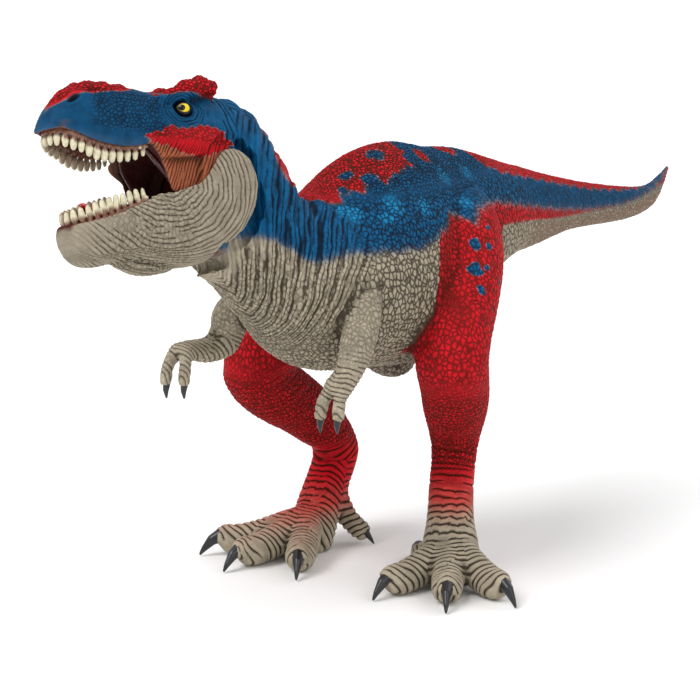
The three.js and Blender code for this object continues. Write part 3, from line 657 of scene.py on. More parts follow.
def claw_centre(node):
    low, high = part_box(node)
    return np.array((low + high) / 2) / MM


# Heights of the paint's edges along the body, as (y, z)
BLUE_LOW = (
    (-100, 97.5), (-93.4, 96.2), (-90.2, 95.8), (-87.5, 93.4), (-83.7, 90.2), (-79.2, 89.9), (-74.6, 91.1),
    (-67.6, 90.7), (-59.3, 90.4), (-50.1, 90), (-44.6, 91.5), (-38, 93.5), (-33.8, 96.5), (-29.7, 95.3),
    (-28.3, 93.7), (-23.3, 97.2), (-15.3, 97.1), (-2.1, 95.1), (19.7, 91), (41.5, 87.1), (65.3, 83.8),
    (88.7, 81.9), (105.6, 82.1), (122.5, 82.9), (132, 84.5), (141, 88),
)
RED_LOW = (
    (-84, 110), (-78, 106.5), (-72, 104), (-68.5, 102.6), (-67.6, 101.7), (-66.2, 101.7), (-63.3, 103),
    (-60.2, 104.2), (-59.2, 103.8), (-55.9, 105), (-52.4, 106.6), (-52, 105.4), (-49, 106.3), (-44.5, 107.8),
    (-41.4, 108), (-38.5, 108.1), (-36.5, 111), (-34.5, 117), (-6, 117), (-3.5, 109), (-2.1, 105),
    (6.5, 101.5), (26.7, 97.3), (46.5, 93.2), (68.6, 88.9), (92, 85.6), (109.7, 83.9), (125.8, 84.4),
    (134, 88), (141, 93),
)
GREY_TOP = (
    (-8, 80), (-2.6, 88.8), (10.2, 87.7), (35, 84.9), (57.9, 83.1), (81.2, 81.7), (96.5, 81.5), (110.4, 82.1),
    (127, 82.6), (135, 83), (141, 84),
)
# Where the neck's folds end, and the front edge of the thighs' red, as (z, y)
FOLD_END = ((50, -80), (75, -77), (88, -68), (98, -66), (110, -74), (125, -80))
THIGH_EDGE = (
    (60, -52), (64.8, -50.6), (70, -49.4), (75.3, -47.6), (80.3, -46.7), (86.2, -45.3), (90.9, -43.2),
    (93.9, -40.4), (97, -36),
)
# Round spots, alike on both sides, as (side, y, z) and radius
SADDLE_SPOTS = (
    ((6, -57.3, 107.3), 1.9), ((6.9, -46.5, 111.6), 2.6), ((11.6, -54.7, 106.5), 2.3),
    ((6.5, -35.4, 112.5), 2.0), ((10.9, -37, 109.9), 2.0), ((8.7, -61.9, 104.2), 1.3),
)
BLUE_ISLES = (((9.9, -30.6, 110), 2.6), ((3.5, -12.2, 109.6), 3.6))
LIGHT_PATCHES = (
    ((15, -65.6, 99.2), 2.5), ((18.7, -54.1, 100.7), 2.6), ((19.9, -58.1, 97.8), 1.8),
    ((12.5, -67.2, 100.4), 1.8), ((14.7, -27.3, 104.5), 2.4), ((11.9, -13.5, 104.1), 2.2),
    ((20.8, -43.9, 99), 2.2), ((20.7, -25.8, 98.3), 1.8),
)
THIGH_SPOTS = (
    ((26.9, -24.3, 92), 0.95), ((27.7, -31.6, 88.6), 1.75), ((29.2, -27.4, 87.7), 1.3), ((29.7, -34.8, 83), 1.8),
    ((30.1, -34, 81.9), 1.6), ((31.2, -30.7, 82.9), 1.05), ((31.6, -25.7, 78.3), 0.95), ((33.1, -35.9, 77.9), 1.3),
)
# Painted shade in the hollow behind each arm, as (side, y, z) and radius
ARM_SHADE_SPOTS = (
    ((21.9, -75.2, 83.4), 2.0), ((21.2, -77.1, 80.1), 2.4), ((19.2, -76.5, 72.3), 3.0), ((22.7, -73.1, 79.7), 2.0),
    ((20.8, -75.4, 74.8), 3.0), ((18.5, -70.8, 66.3), 2.6),
)
# Edges and outlines in the head's frame, as (back, up)
NOSE_RED = (
    (-50, 11.6), (-43.5, 12.7), (-42.7, 14), (-41.2, 15.1), (-39.5, 16.2), (-37.6, 17.4), (-32.8, 18.2),
    (-24.5, 19.6), (-20, 21), (-17.5, 21.4),
)
BROW_RED = (
    (-17.5, 19.8), (-15.6, 19.1), (-14.3, 19.4), (-12.4, 20), (-9.6, 20.4), (-6.4, 20.2), (-3, 20), (-1, 19.8),
    (0.5, 23),
)
CHEEK_RED = (
    (-22.2, 8.3), (-20.3, 9.8), (-18.2, 10), (-15.6, 11.9), (-13, 11.2), (-10.5, 11.6), (-7, 12.6), (-3.3, 12.5),
    (-0.5, 11.6), (1.2, 10), (3.4, 9.3), (0.6, 7.6), (-2.6, 6.4), (-6.7, 5), (-12.3, 5.1), (-16.5, 6.6), (-19.8, 6.9),
)
WEB = (
    (-21.5, 7.6), (-16.5, 7.5), (-8, 7), (1.5, 9), (1.5, 4), (-1.5, -1), (-3, -8), (-15.5, -8), (-16.6, -2),
    (-17.4, 1.2), (-19.2, 4.4),
)
LIP = ((-47, 8.6), (-36, 6.8), (-28, 5.6), (-20, 6.9))
JAW_LIP = ((-48, -13), (-38, -12.4), (-35.8, -12), (-32, -11.2), (-26.4, -8.9), (-22.7, -7), (-16, -4.2), (-11, -2.9))
# Half widths of the mouth's inside, as (back, out)
INNER_HALF = ((-48, 1), (-46, 2.2), (-42, 5.6), (-38, 6.6), (-30, 8.2), (-24, 9.2), (-18, 9.9), (-10, 9.9), (4, 9.6))
JAW_INNER = ((-42, 1), (-38, 3.4), (-34, 4.6), (-28, 5.8), (-22, 6.6), (-14, 8.6), (-8, 9.6), (4, 9.8), (12, 9.8))
# Places in the head's frame, as (out, back, up)
NOSTRIL = (4.85, -38.5, 16.5)
NOSTRIL_HEADING = (0.1, 0.82, 0.56)
EYE = (9.15, -10.9, 16.2)
FAR_LIP = (-7.4, -16.6, 3.4)
JAW_MIDDLE = (-16, -1)  # of the jaw's arc wrinkles, as (back, up)
FOLD_MIDDLE = (-92.0, 54.0)  # what the neck's folds run round, as (y, z)
FOLD_RADIUS = 46  # where the neck's folds are as wide as their property says
HIND_CREASE = -30  # no painted shade lies between leg and trunk behind this y
HEAD_END = -80  # all of the head lies before this y
# For legs and arms: heights of the shaft's bends, ring width, turns round it, claw cover and its width
LEG_RINGS = ((56, 44, 33, 21), 1.6, 22, 1.2, 5.6, (1, 1, 0))
ARM_RINGS = ((76, 70, 64), 1.2, 12, 1.3, 3.2, (0.3, 0.3, 1))
RIGHT_ARM_BENDS = (76, 71, 67)


class Places:
    """A skin's points in mm, in the figure's axes and in the head's, with x taken alike on both sides."""

    def __init__(self, mesh):
        self.points, self.normals = numbers(mesh)
        self.x, self.y, self.z = self.points.T
        self.side = np.abs(self.x - MID_X)
        self.head = (self.points - HINGE) @ HEAD_AXES.T
        self.out, self.back, self.up = np.abs(self.head[:, 0]), self.head[:, 1], self.head[:, 2]
        self.turned = self.normals @ HEAD_AXES.T
        self.outward = self.turned[:, 0] * np.sign(self.head[:, 0])

    def flow(self, along, across, layer):
        """Places on a pattern that follows the surface. The layer sets one pattern apart from the next."""
        return columns(along, across, np.full(len(self.points), layer))


class FigurePlaces(Places):
    """The same for a skin of the figure, with how much of each part lies at each point."""

    def __init__(self, mesh, owner):
        super().__init__(mesh)
        self.own = {name: averaged(mesh, (owner == i).astype(float), 4) for i, name in enumerate(FIGURE)}
        self.leg = self.own["left_leg"] + self.own["right_leg"]
        self.arm = self.own["left_arm"] + self.own["right_arm"]
        self.aft = ramp(self.y, 2, 48) * (1 - self.leg)
        self.on_head = ramp(self.back, 6, 1.5) * ramp(self.z, 88, 96) * (self.y < HEAD_END)
        self.outside = ramp(self.out, 6, 7.2) * (self.outward > -0.2)
        self.front = self.y - level(self.z, THIGH_EDGE)
        self.thigh_side = (self.y < -15) * band(self.z, 60, 64, 95, 98) * ramp(self.side, 14, 18)
        # Edges that waver a little, as a brush leaves them
        self.wave = np.sin(self.y * 1.9) * 0.35 + np.sin(self.y * 0.83 + 1) * 0.5
        self.mirrored = columns(self.side, self.y, self.z)
        self.mirrored += 0.35 * np.sin(self.mirrored[:, ::-1] * 2.9)
        waver = 0.25 * np.sin(columns(self.up * 3.1, self.back * 2.7))
        self.flat = columns(self.back, self.up) + waver
        place = columns(self.out, self.back, self.up)
        self.eye = np.linalg.norm((place - EYE) * (1, 1, 1.15), axis=1)
        offset = place - NOSTRIL
        along = offset @ unit(NOSTRIL_HEADING)
        # The nostril is a slot, so a distance along it counts less
        self.nostril = np.sqrt(np.maximum(np.sum(offset * offset, axis=1) - along**2 * 0.8, 0))


class Paint:
    """How much of each colour covers each point. What none covers stays beige."""

    def __init__(self, count):
        self.cover = {name: np.zeros(count) for name in ("blue", "red", "flesh", "mouth")}

    def lay(self, colour, mask):
        """Lays one colour over the others."""
        self.wipe(mask)
        self.cover[colour] = self.cover[colour] + mask

    def wipe(self, mask, colours=("blue", "red", "flesh", "mouth")):
        """Takes a share of some colours off."""
        for name in colours:
            self.cover[name] = self.cover[name] * (1 - mask)


def paint_body(at, paint):
    """Blue over grey, a red saddle and tail, red legs with blue spots, and feet that fade to grey."""
    y, z, leg, lay = at.y, at.z, at.leg, paint.lay
    off_arm = 1 - at.arm
    over_grey = z - level(y, GREY_TOP)
    lay("red", leg)
    lay("red", ramp(y, -14, -10) * (1 - leg) * ramp(over_grey, -0.8, 0.8))
    lay("red", ramp(at.front, -0.4, 0.4) * at.thigh_side * off_arm)
    hip = ramp(y, -46, -42) * (1 - at.own["tail"]) * ramp(z, 84, 88)
    over_blue = z - level(y, BLUE_LOW) + at.wave * 0.5
    lay("blue", ramp(over_blue, -2.4, 1.8) * np.maximum(1 - leg, hip) * off_arm)
    ridge_top = np.maximum(ramp(at.side, 6.5, 3), at.x < MID_X) * band(y, -76, -70, -52, -46)
    over_red = z - level(y, RED_LOW) + 3 * ridge_top + at.wave * 0.7
    lay("red", ramp(over_red, -0.5, 0.7) * ramp(y, -84, -80) * (1 - at.on_head))
    for colour, spots, edge, within in (
        ("blue", SADDLE_SPOTS, 0.7, 1),
        ("red", BLUE_ISLES, 0.7, 1),
        ("blue", THIGH_SPOTS, 0.35, leg),
    ):
        for centre, radius in spots:
            lay(colour, spot(at.mirrored, centre, radius, edge) * within)
    nape = ramp(at.normals[:, 1], 0.3, 0.8) * ramp(at.side, 3.2, 0.8) * ramp(z, 104, 112)
    lay("red", 0.55 * nape * ramp(at.back, 5, 9))
    lift = z - 8 * (at.x > MID_X)  # the left ankle is higher
    paint.wipe(leg * ramp(lift, 14, 6))
    lay("flesh", 0.3 * leg * band(lift, 5, 12, 14, 20))
    lay("flesh", 0.25 * at.aft * ramp(over_grey, -0.5, -2))


def paint_head(at, paint):
    """Blue with a red snout, brow and cheek, flesh at the mouth's corner and a dark mouth."""
    out, back, up, on_head, lay = at.out, at.back, at.up, at.on_head, paint.lay
    lay("blue", on_head)
    lay("red", on_head * ramp(up - level(back, NOSE_RED) + at.wave * 0.25, -0.35, 0.35) * (back < -17))
    lay("red", on_head * ramp(up, 21.4, 22.4) * ramp(out, 4.6, 3.2) * ramp(back, -7, -10) * (back > -26))
    brow = on_head * ramp(up - level(back, BROW_RED), -0.4, 0.5) * ramp(out, 3.6, 5.2)
    brow = brow * (back > -18) * (back < 0.5)
    lay("red", brow)
    web = on_head * patch(at.flat, WEB)
    lay("mouth", web * (1 - at.outside))
    lay("flesh", web * at.outside * ramp(up, -5, -3))
    lay("red", on_head * patch(at.flat, CHEEK_RED, 0.35) * at.outside)
    paint.wipe(0.15 * on_head * ramp(up - level(back, LIP), 2.4, 0.2) * (back < -20), ("blue", "red"))
    palate = ramp(out - level(back, INNER_HALF), 0.2, -0.7) * ramp(up, 11.2, 10.2) * ramp(at.turned[:, 2], 0.5, 0)
    throat = ramp(out, 9, 7.5) * ramp(back, 6, 3) * band(up, -10, -7, 9, 11) * (back > -12)
    throat *= ramp(at.turned[:, 1], -0.1, -0.5) * (at.own["torso"] + at.own["head"])
    mouth = on_head * np.maximum(palate, throat)
    mouth *= 1 - ramp(at.outward, 0.2, 0.6) * ramp(out, 5.5, 7)
    mouth *= 1 - ramp(at.turned[:, 1], -0.2, -0.6) * ramp(back, -40, -43)
    lay("mouth", mouth)
    far_lip = spot(at.head, FAR_LIP, 2.4, 1.4)
    lay("flesh", 0.6 * far_lip * (back < -15))
    return brow, mouth, far_lip


def dark_paint_and_shade(at, blue):
    """Darker in the nostrils and round the eyes, the head's blue darker towards the snout, and painted shade in the
    crease between leg and trunk, along the thighs' front edge and behind the arms. Less than none is painted light: it
    keeps the pocket behind the jaw's lobe and the throat under the jaw clear of wash and painted shade.
    """
    out, back, up, z, leg = at.out, at.back, at.up, at.z, at.leg
    dark = np.max(
        [
            at.on_head * ramp(at.nostril, 1.15, 0.75),
            0.8 * at.on_head * ramp(at.eye, 3.6, 2.3),
            # Painted shade in the crease between leg and trunk
            2.2 * leg * (1 - leg) * (at.y < HIND_CREASE) * ramp(z, 56, 66),
            # Painted shade along the front edge of the thigh, where the trunk meets it
            0.55 * at.thigh_side * ramp(z, 66, 74) * band(at.front, 0.6, 2.5, 4, 8) * (1 - at.arm),
            0.3 * at.on_head * blue * ramp(back, -2, -12),
            # Painted shade in the hollow behind each arm
            *(0.5 * at.own["torso"] * spot(at.mirrored, *hollow, 2.0) for hollow in ARM_SHADE_SPOTS),
        ],
        axis=0,
    )
    # Painted light: lightens the pocket behind the jaw's lobe and the throat under the jaw, which lie in the lobe's
    # shadow
    pocket = band(out, 5, 6.5, 11.5, 13) * band(back, 3, 4.5, 12, 14) * band(up, -16, -13, 12, 14)
    below = ramp(out, 9, 7) * band(back, 1, 3, 7, 9) * band(up, -23, -21, -14, -12)
    return dark - 0.8 * np.maximum(pocket, below) * (at.y < HEAD_END)


def limb_rings(at, flow):
    """Lays rings along each leg and arm, and finds how far toes and fingers grow over their claws."""
    reach = np.zeros_like(at.points)
    for limb in LIMBS:
        mine = at.own[limb] > 0.02
        if not mine.any():
            continue
        points = at.points[mine]
        side, kind = limb.split("_")
        tips, digit, rings = (TOES + ("rear",), "toe", LEG_RINGS) if kind == "leg" else (FINGERS, "finger", ARM_RINGS)
        bends, ring, round_it, cover, wide, lengthwise = rings
        if limb == "right_arm":
            bends = RIGHT_ARM_BENDS
        ends = [claw_centre(f"{side}_{tip}_{digit}_claw") for tip in tips]
        shaft = [points[np.abs(points[:, 2] - bend) < 1.5].mean(axis=0) for bend in bends]
        along, turn = along_paths(points, [[*shaft, end] for end in ends])
        for end in ends:
            heading = unit((end - shaft[-1]) * lengthwise)
            away = np.linalg.norm(points - end + 0.5 * wide * heading, axis=1)
            reach[mine] += ramp(away, wide, 0.5 * wide)[:, None] * heading * cover
        rings = columns(along / ring, 4 * turn / round_it, np.full(len(along), 3.5))
        flow[mine] = np.where(at.own[limb][mine][:, None] > 0.5, rings, flow[mine])
    return reach


def body_relief(at, mouth, fold_width):
    """The pattern's places and the depths of scales, pebbles, folds and pleats on trunk, tail and limbs."""
    y, z, leg, arm, aft = at.y, at.z, at.leg, at.arm, at.aft
    aside, above = y - FOLD_MIDDLE[0], z - FOLD_MIDDLE[1]
    radius = np.hypot(aside, above)
    flow = at.flow((np.arctan2(aside, above) * FOLD_RADIUS + at.side * 0.9) / fold_width, radius / 13, 0.5)
    reach = limb_rings(at, flow)
    neck = ramp(y - level(z, FOLD_END), 5, -6) * at.own["torso"] * (1 - mouth) * ramp(radius, 8, 20)
    bare = (1 - leg) * (1 - arm)
    shank, scutes, thigh = leg * ramp(z, 24, 30), leg * ramp(z, 31, 24), leg * ramp(z, 48, 58)
    fold = 0.28 * neck * bare + 0.42 * scutes + (0.26 - 0.16 * ramp(z, 64, 70)) * arm
    fold += (0.06 + 0.2 * ramp(z, 48, 38)) * shank + 0.1 * leg * ramp(np.abs(z - 47), 8, 3)
    pleat = 0.42 * neck * bare * (1 - 0.5 * ramp(z, 104, 112)) * ramp(radius, 14, 26)
    flank = (at.own["torso"] + at.own["tail"]) * (1 - neck) * (1 - at.on_head) * (1 - aft)
    scale = 0.25 * flank + 0.14 * neck * (1 - 0.6 * ramp(z, 84, 100)) + 0.2 * thigh + 0.13 * aft
    scale += 0.12 * arm * ramp(z, 62, 70)
    saddle = flank * ramp(z, 100, 106)
    pebble = 0.04 + 0.09 * aft + 0.14 * shank * (1 - thigh) + 0.17 * saddle - 0.02 * neck
    return flow, reach, scale * (1 - saddle), pebble * (1 - scutes * 0.7), fold, pleat


def head_relief(at, crest):
    """The pattern's places and the depths of pebbles and folds on the head."""
    back, up = at.back, at.up
    cheek = band(back, -37, -32, -18, -15) * band(up, 7.5, 11, 18.5, 20.5)
    cheek_red = patch(at.flat, CHEEK_RED, 1.2) * ramp(up, 7.5, 9) * at.outside
    pebble = 0.02 + 0.15 * cheek + 0.16 * crest + 0.12 * cheek_red
    rings = band(at.eye, 2.2, 2.8, 5, 8.5)
    web = patch(at.flat, WEB, 1.0) * at.outside
    fold = 0.22 * rings + 0.25 * web + 0.3 * ramp(back, -3.5, 0.5) * (1 - web)
    flow = at.flow((back + 0.35 * up) / 1.7, up / 9, 0.5)
    round_eye = at.flow(at.eye / 0.85, np.arctan2(up - EYE[2], back - EYE[1]) * 0.8, 5.5)
    flow = np.where((rings > 0.02)[:, None], round_eye, flow)
    return np.where((web > 0.02)[:, None], at.flow((back - 0.35 * up) / 0.85, up / 12, 8.5), flow), pebble, fold


def figure_fields(mesh, owner, fold_width):
    """Stores where paint, folds and scales lie on a skin of the figure, and moves what the solids leave out."""
    at = FigurePlaces(mesh, owner)
    on_head, nostril = at.on_head, at.nostril
    paint = Paint(len(at.points))
    paint_body(at, paint)
    brow, mouth, far_lip = paint_head(at, paint)
    cover = paint.cover
    light = np.max([spot(at.mirrored, *place, 1.3) for place in LIGHT_PATCHES], axis=0)
    put(mesh, "coat", columns(cover["blue"], cover["red"], cover["flesh"]))
    # The tone holds the mouth's paint; dark paint and painted shade, or painted light below none; and the light blue
    # patches
    put(mesh, "tone", columns(cover["mouth"], dark_paint_and_shade(at, cover["blue"]), light))

    crest = np.maximum(brow, on_head * ramp(at.up - level(at.back, NOSE_RED), 0, 1) * (at.back < -17))
    flow, reach, scale, pebble, fold, pleat = body_relief(at, mouth, fold_width)
    head_flow, head_pebble, head_fold = head_relief(at, crest)
    relief = columns(scale, pebble, fold) * (1 - on_head)[:, None]
    relief += columns(0 * on_head, head_pebble, head_fold) * on_head[:, None]
    calm = (1 - mouth) * (1 - 0.9 * on_head * ramp(nostril, 1.6, 1))
    put(mesh, "flow", np.where((on_head > 0.5)[:, None], head_flow, flow))
    put(mesh, "relief", relief * calm[:, None])
    put(mesh, "pleat", pleat * ramp(on_head, 0.6, 0) * (1 - at.leg) * calm)
    put(mesh, "rest", at.points)

    # Nostrils go in, and rims and the knobs on nose ridge and brows stand up
    knobs = np.sin(at.back * 1.35) * np.cos(at.head[:, 0] * 1.1 + 0.6 * np.sin(at.back * 0.9))
    rims = 0.15 * ramp(np.abs(nostril - 1.5), 0.6, 0) + 0.25 * ramp(np.abs(at.eye - 3.1), 0.9, 0)
    push = on_head * (rims - 1.4 * ramp(nostril, 1.1, 0.2)) + 0.32 * knobs * crest
    move(mesh, at.points + at.normals * push[:, None] + reach - 3.0 * far_lip[:, None] * HEAD_BACK)


def jaw_fields(mesh):
    """Stores where paint and wrinkles lie on the jaw's skin."""
    at = Places(mesh)
    out, back, up = at.out, at.back, at.up
    none = np.zeros(len(at.points))
    mouth = ramp(out - level(back, JAW_INNER), 0.5, -0.6) * ramp(at.turned[:, 2], -0.2, 0.35)
    mouth *= ramp(up - level(back, JAW_LIP), -7, -4)
    lobe_inside = (at.outward < -0.35) & (back > -14)
    mouth = np.maximum(mouth, lobe_inside * 0.8)
    put(mesh, "coat", columns(none, none, none))
    put(mesh, "tone", columns(mouth, none + 0.18, none))
    behind, above = back - JAW_MIDDLE[0], up - JAW_MIDDLE[1]
    around = np.hypot(behind / 24, above / 21) * 22
    under = ramp(at.turned[:, 2], -0.55, -0.9)
    put(mesh, "flow", at.flow(around / 1.2 + (12 - out) * 0.5 * under, np.arctan2(above, behind) * 1.3, 11.5))
    lines = 0.22 - 0.14 * ramp(back, -31, -37)
    depths = columns(0.04 + 0.07 * band(back, -34, -26, -12, -4), none + 0.02, lines)
    put(mesh, "relief", depths * (1 - mouth)[:, None])
    put(mesh, "pleat", none)
    put(mesh, "rest", at.points)


# Materials


def new_material(name):
    material = bpy.data.materials.new(name)
    material.use_nodes = True
    material.node_tree.nodes.clear()
    return material, Plan(material.node_tree)


def finish_material(plan, colour, roughness, height=None, bump=0.0, **constants):
    """The shader, with its constant values on its own sockets."""
    values = {"Base Color": colour, "Roughness": roughness}
    values.update({name.replace("_", " "): value for name, value in constants.items()})
    if height is not None:
        values["Normal"] = plan.add("ShaderNodeBump", {}, {"Strength": 1.0, "Distance": bump, "Height": height})
    shader = plan.add("ShaderNodeBsdfPrincipled", {}, values)
    plan.add("ShaderNodeOutputMaterial", {}, {"Surface": shader})


def attribute(plan, name, out="Vector"):
    return plan.add("ShaderNodeAttribute", {"attribute_name": name}, {}, out=out)


def painted_skin(name):
    """Satin painted vinyl: colours by the skin's attributes, dark wash in grooves, painted shade in broad hollows and
    creases, painted light that takes it off beside the jaw, lighter tops.
    """
    colours = bpy.context.scene.dinosaur_colours
    sizes = bpy.context.scene.dinosaur_sizes
    material, plan = new_material(name)
    rest = attribute(plan, "rest")
    coat = attribute(plan, "coat")
    tone = attribute(plan, "tone")
    relief = attribute(plan, "relief")
    hollow = attribute(plan, "hollow", "Fac")
    layers = skin_layers(plan, rest, attribute(plan, "flow"), sizes)
    mottle = plan.noise(rest, 0.35, 3.0)
    speckle = plan.noise(rest, 1.6, 2.0)

    def edge(mask):
        return (mask + (speckle - 0.5) * 0.6).step(0.2, 0.8)

    base = plan.mix(mottle.step(0.3, 0.7), colours.belly[:], tuple(0.8 * c for c in colours.belly))
    base = plan.mix(coat.part(2), base, colours.flesh[:])
    red = plan.mix(mottle.step(0.3, 0.75), colours.legs[:], tuple(0.72 * c for c in colours.legs))
    blue = plan.mix(mottle.step(0.35, 0.75), colours.back[:], tuple(0.62 * c for c in colours.back))
    blue = plan.mix(tone.part(2) * 0.75, blue, colours.patch[:])
    base = plan.mix(edge(coat.part(1)) * 0.6 + coat.part(1) * 0.4, base, red)
    base = plan.mix(edge(coat.part(0)) * 0.6 + coat.part(0) * 0.4, base, blue)
    base = plan.mix(tone.part(0), base, colours.mouth[:])

    # Grooves of each layer, as deep as its relief
    depths = (relief.part(0), relief.part(1), relief.part(2), attribute(plan, "pleat", "Fac"))
    grooves = [
        (1 - layer.step(0.02, width)) * (depth * amount)
        for layer, depth, (amount, width) in zip(layers, depths, WASH)
    ]
    groove = grooves[0].larger(grooves[1]).larger(grooves[2]).larger(grooves[3])
    pit = hollow.step(0.012, 0.09)
    rise = (0 - hollow).step(0.015, 0.08)
    # Painted shade in the broad hollows, less on red
    valley_shade = attribute(plan, "valley", "Fac").step(0.04, 0.5) * (0.65 - 0.5 * coat.part(1))
    # Wash in grooves and hollows, with the tone's dark paint and painted shade
    wash_and_shade = (groove.larger(pit) * (0.75 + 0.25 * speckle)).larger(tone.part(1))
    # A tone below none is painted light: it takes wash and painted shade off where the jaw's lobe shades the neck
    painted_light = tone.part(1).maths("MINIMUM", 0.0)
    wash_and_shade = (wash_and_shade + valley_shade * (1 - wash_and_shade) + painted_light).step(0.0, 1.0, "LINEAR")
    lighter = base.times(1 + rise * 0.3)
    deep = plan.mix(0.55 - 0.4 * coat.part(0), base.times(0.14), colours.wash_and_shade_colour[:])
    colour = plan.mix(wash_and_shade * 0.94, lighter, deep)
    height = layers[1].step(0.0, 0.3) * relief.part(1) + layers[0].step(0.0, 0.2) * relief.part(0) * 0.5
    height = height + layers[2].step(0.0, 0.25) * relief.part(2) * 0.4 + speckle * 0.03
    finish_material(plan, colour, 0.5 + 0.2 * wash_and_shade, height, MM, Specular_IOR_Level=0.07, IOR=1.5)
    return material


def enamel(name, colour, deep, roughness, grain=0.5, streaks=(1.0, 1.0, 1.0), coat=0.0):
    """Smooth glossy paint with a darker tone in hollows and where the depth attribute says, which on the teeth holds
    painted shade, and faint streaks.
    """
    material, plan = new_material(name)
    place = attribute(plan, "rest")
    hollow = attribute(plan, "hollow", "Fac")
    depth = attribute(plan, "depth", "Fac")
    mottle = plan.noise(place.vector("MULTIPLY", streaks), grain, 3.0)
    base = plan.mix(mottle.step(0.3, 0.7), colour, tuple(0.78 * c for c in colour))
    wash_and_shade = (hollow.step(0.01, 0.07) * 0.85).larger(depth * (0.7 + 0.5 * mottle)).step(0.0, 1.0, "LINEAR")
    finish_material(
        plan, plan.mix(wash_and_shade, base, deep), roughness + 0.15 * mottle, mottle, 0.04 * MM,
        Coat_Weight=coat, Coat_Roughness=0.15,
    )
    return material


def iris(name):
    """Yellow eye with a dark pupil towards the gaze and a dark rim."""
    colours = bpy.context.scene.dinosaur_colours
    material, plan = new_material(name)
    away = attribute(plan, "gaze", "Fac")
    ring = attribute(plan, "rim", "Fac")
    fibres = plan.noise(attribute(plan, "rest"), 3.0, 2.0)
    colour = plan.mix(fibres.step(0.3, 0.7), colours.iris[:], tuple(0.8 * c for c in colours.iris))
    colour = plan.mix(ring.step(0.92, 1.08), colour, (0.006, 0.006, 0.008))
    colour = plan.mix(away.step(0.32, 0.38), (0.003, 0.003, 0.003), colour)
    finish_material(plan, colour, 0.1 + 0.05 * fibres, Specular_IOR_Level=0.3)
    return material


# Pieces


def claw_sheaths():
    """The skin round the rear half of each front toe claw."""
    sheaths = []
    for limb in ("left", "right"):
        heel = claw_centre(f"{limb}_rear_toe_claw")
        for toe in TOES:
            node = f"{limb}_{toe}_toe_claw"
            centre = claw_centre(node)
            heading = unit((centre - heel) * (1, 1, 0))
            axes = np.array([np.cross(heading, (0, 0, 1)), heading, (0, 0, 1)])
            wide, long, high = CLAW_HALF
            rear = box("rear_half", (-wide, -long, -high), (wide, SHEATH_END, high), axes, centre)
            sheaths.append(cut(fused(f"{node}_sheath", [node], SHEATH * MM), rear, "INTERSECT"))
            discard(rear)
    return sheaths


def dressed(skin, soft, rounding, shrink, material, fields, *inputs):
    """Rounds a skin, lays paint and folds over it and presses its relief in."""
    put(skin.data, "soft", soft)
    shaped(skin, soften_tree(), steps=int(rounding / coarse() ** 2), shrink=shrink, finish=material)
    fields(skin.data, *inputs)
    shaped(skin, relief_tree(bpy.context.scene.dinosaur_sizes), depth=1.0, finish=material)
    put(skin.data, "outer", np.ones(len(skin.data.polygons)), "FACE")


def body_softness(mesh, owner):
    """How much each point of the body gives way to smoothing: little on feet, creases and modelled folds."""
    points, _ = numbers(mesh)
    _, y, z = points.T
    on_limb = owner >= FIRST_LIMB
    limb = averaged(mesh, on_limb.astype(float), 12)
    soft = 0.25 + 0.75 * ramp(z, 26, 50)
    soft = np.where(on_limb & (y < -60) & (z < 84), 0.3, soft) * (1 - 0.6 * ramp(y, 100, 138))
    soft *= 1 - 3.6 * limb * (1 - limb)
    folded = (owner == FIGURE.index("torso")) * ramp(y, -46, -62)
    return averaged(mesh, soft * (1 - folded) + 0.03 * folded, 6)


class DINOSAUR_OT_body(bpy.types.Operator):
    """Trunk, tail, legs and arms: one skin over their solids, cut into its pieces."""

    bl_idname = "dinosaur.body"
    bl_label = "Body, legs, arms and tail"

    def execute(self, context):
        sizes = context.scene.dinosaur_sizes
        material = painted_skin("painted_body")
        skin = fused("trunk_skin", FIGURE, sizes.seam_fill, claw_sheaths())
        remeshed(skin, sizes.body_grain * coarse())
        owner = owners(skin.data, FIGURE)
        soft = body_softness(skin.data, owner)
        inputs = (owner, sizes.fold_width / MM)
        dressed(skin, soft, BODY_ROUNDING, sizes.seam_fill, material, figure_fields, *inputs)
        front = headward()
        refilled(cut(skin, front, "DIFFERENCE"))
        discard(front)
        pieces = {"torso": skin}
        cutters = {}
        for limb in (*LIMBS[2:], *LIMBS[:2]):
            side, kind = limb.split("_")
            claws = [f"{side}_{toe}_toe_claw" for toe in TOES] if kind == "leg" else []
            margin = LEG_CUTTER if kind == "leg" else ARM_CUTTER
            cutters[limb] = remeshed(fused(limb, [limb, *claws], margin * MM), CUTTER_GRAIN * MM)
        cutters["tail"] = box("rear", (-FAR, TAIL_CUT, -FAR), (FAR, FAR, FAR), np.eye(3), np.zeros(3))
        for node, cutter in cutters.items():
            piece = linked(f"{node}_skin", skin.data.copy())
            refilled(cut(piece, cutter, "INTERSECT"))
            refilled(cut(skin, cutter, "DIFFERENCE"))
            discard(cutter)
            pieces[node] = piece
        for node, piece in pieces.items():
            thinned(piece, MOST_TRIANGLES)
            place_piece(piece, node, "figure", material)
        return {"FINISHED"}


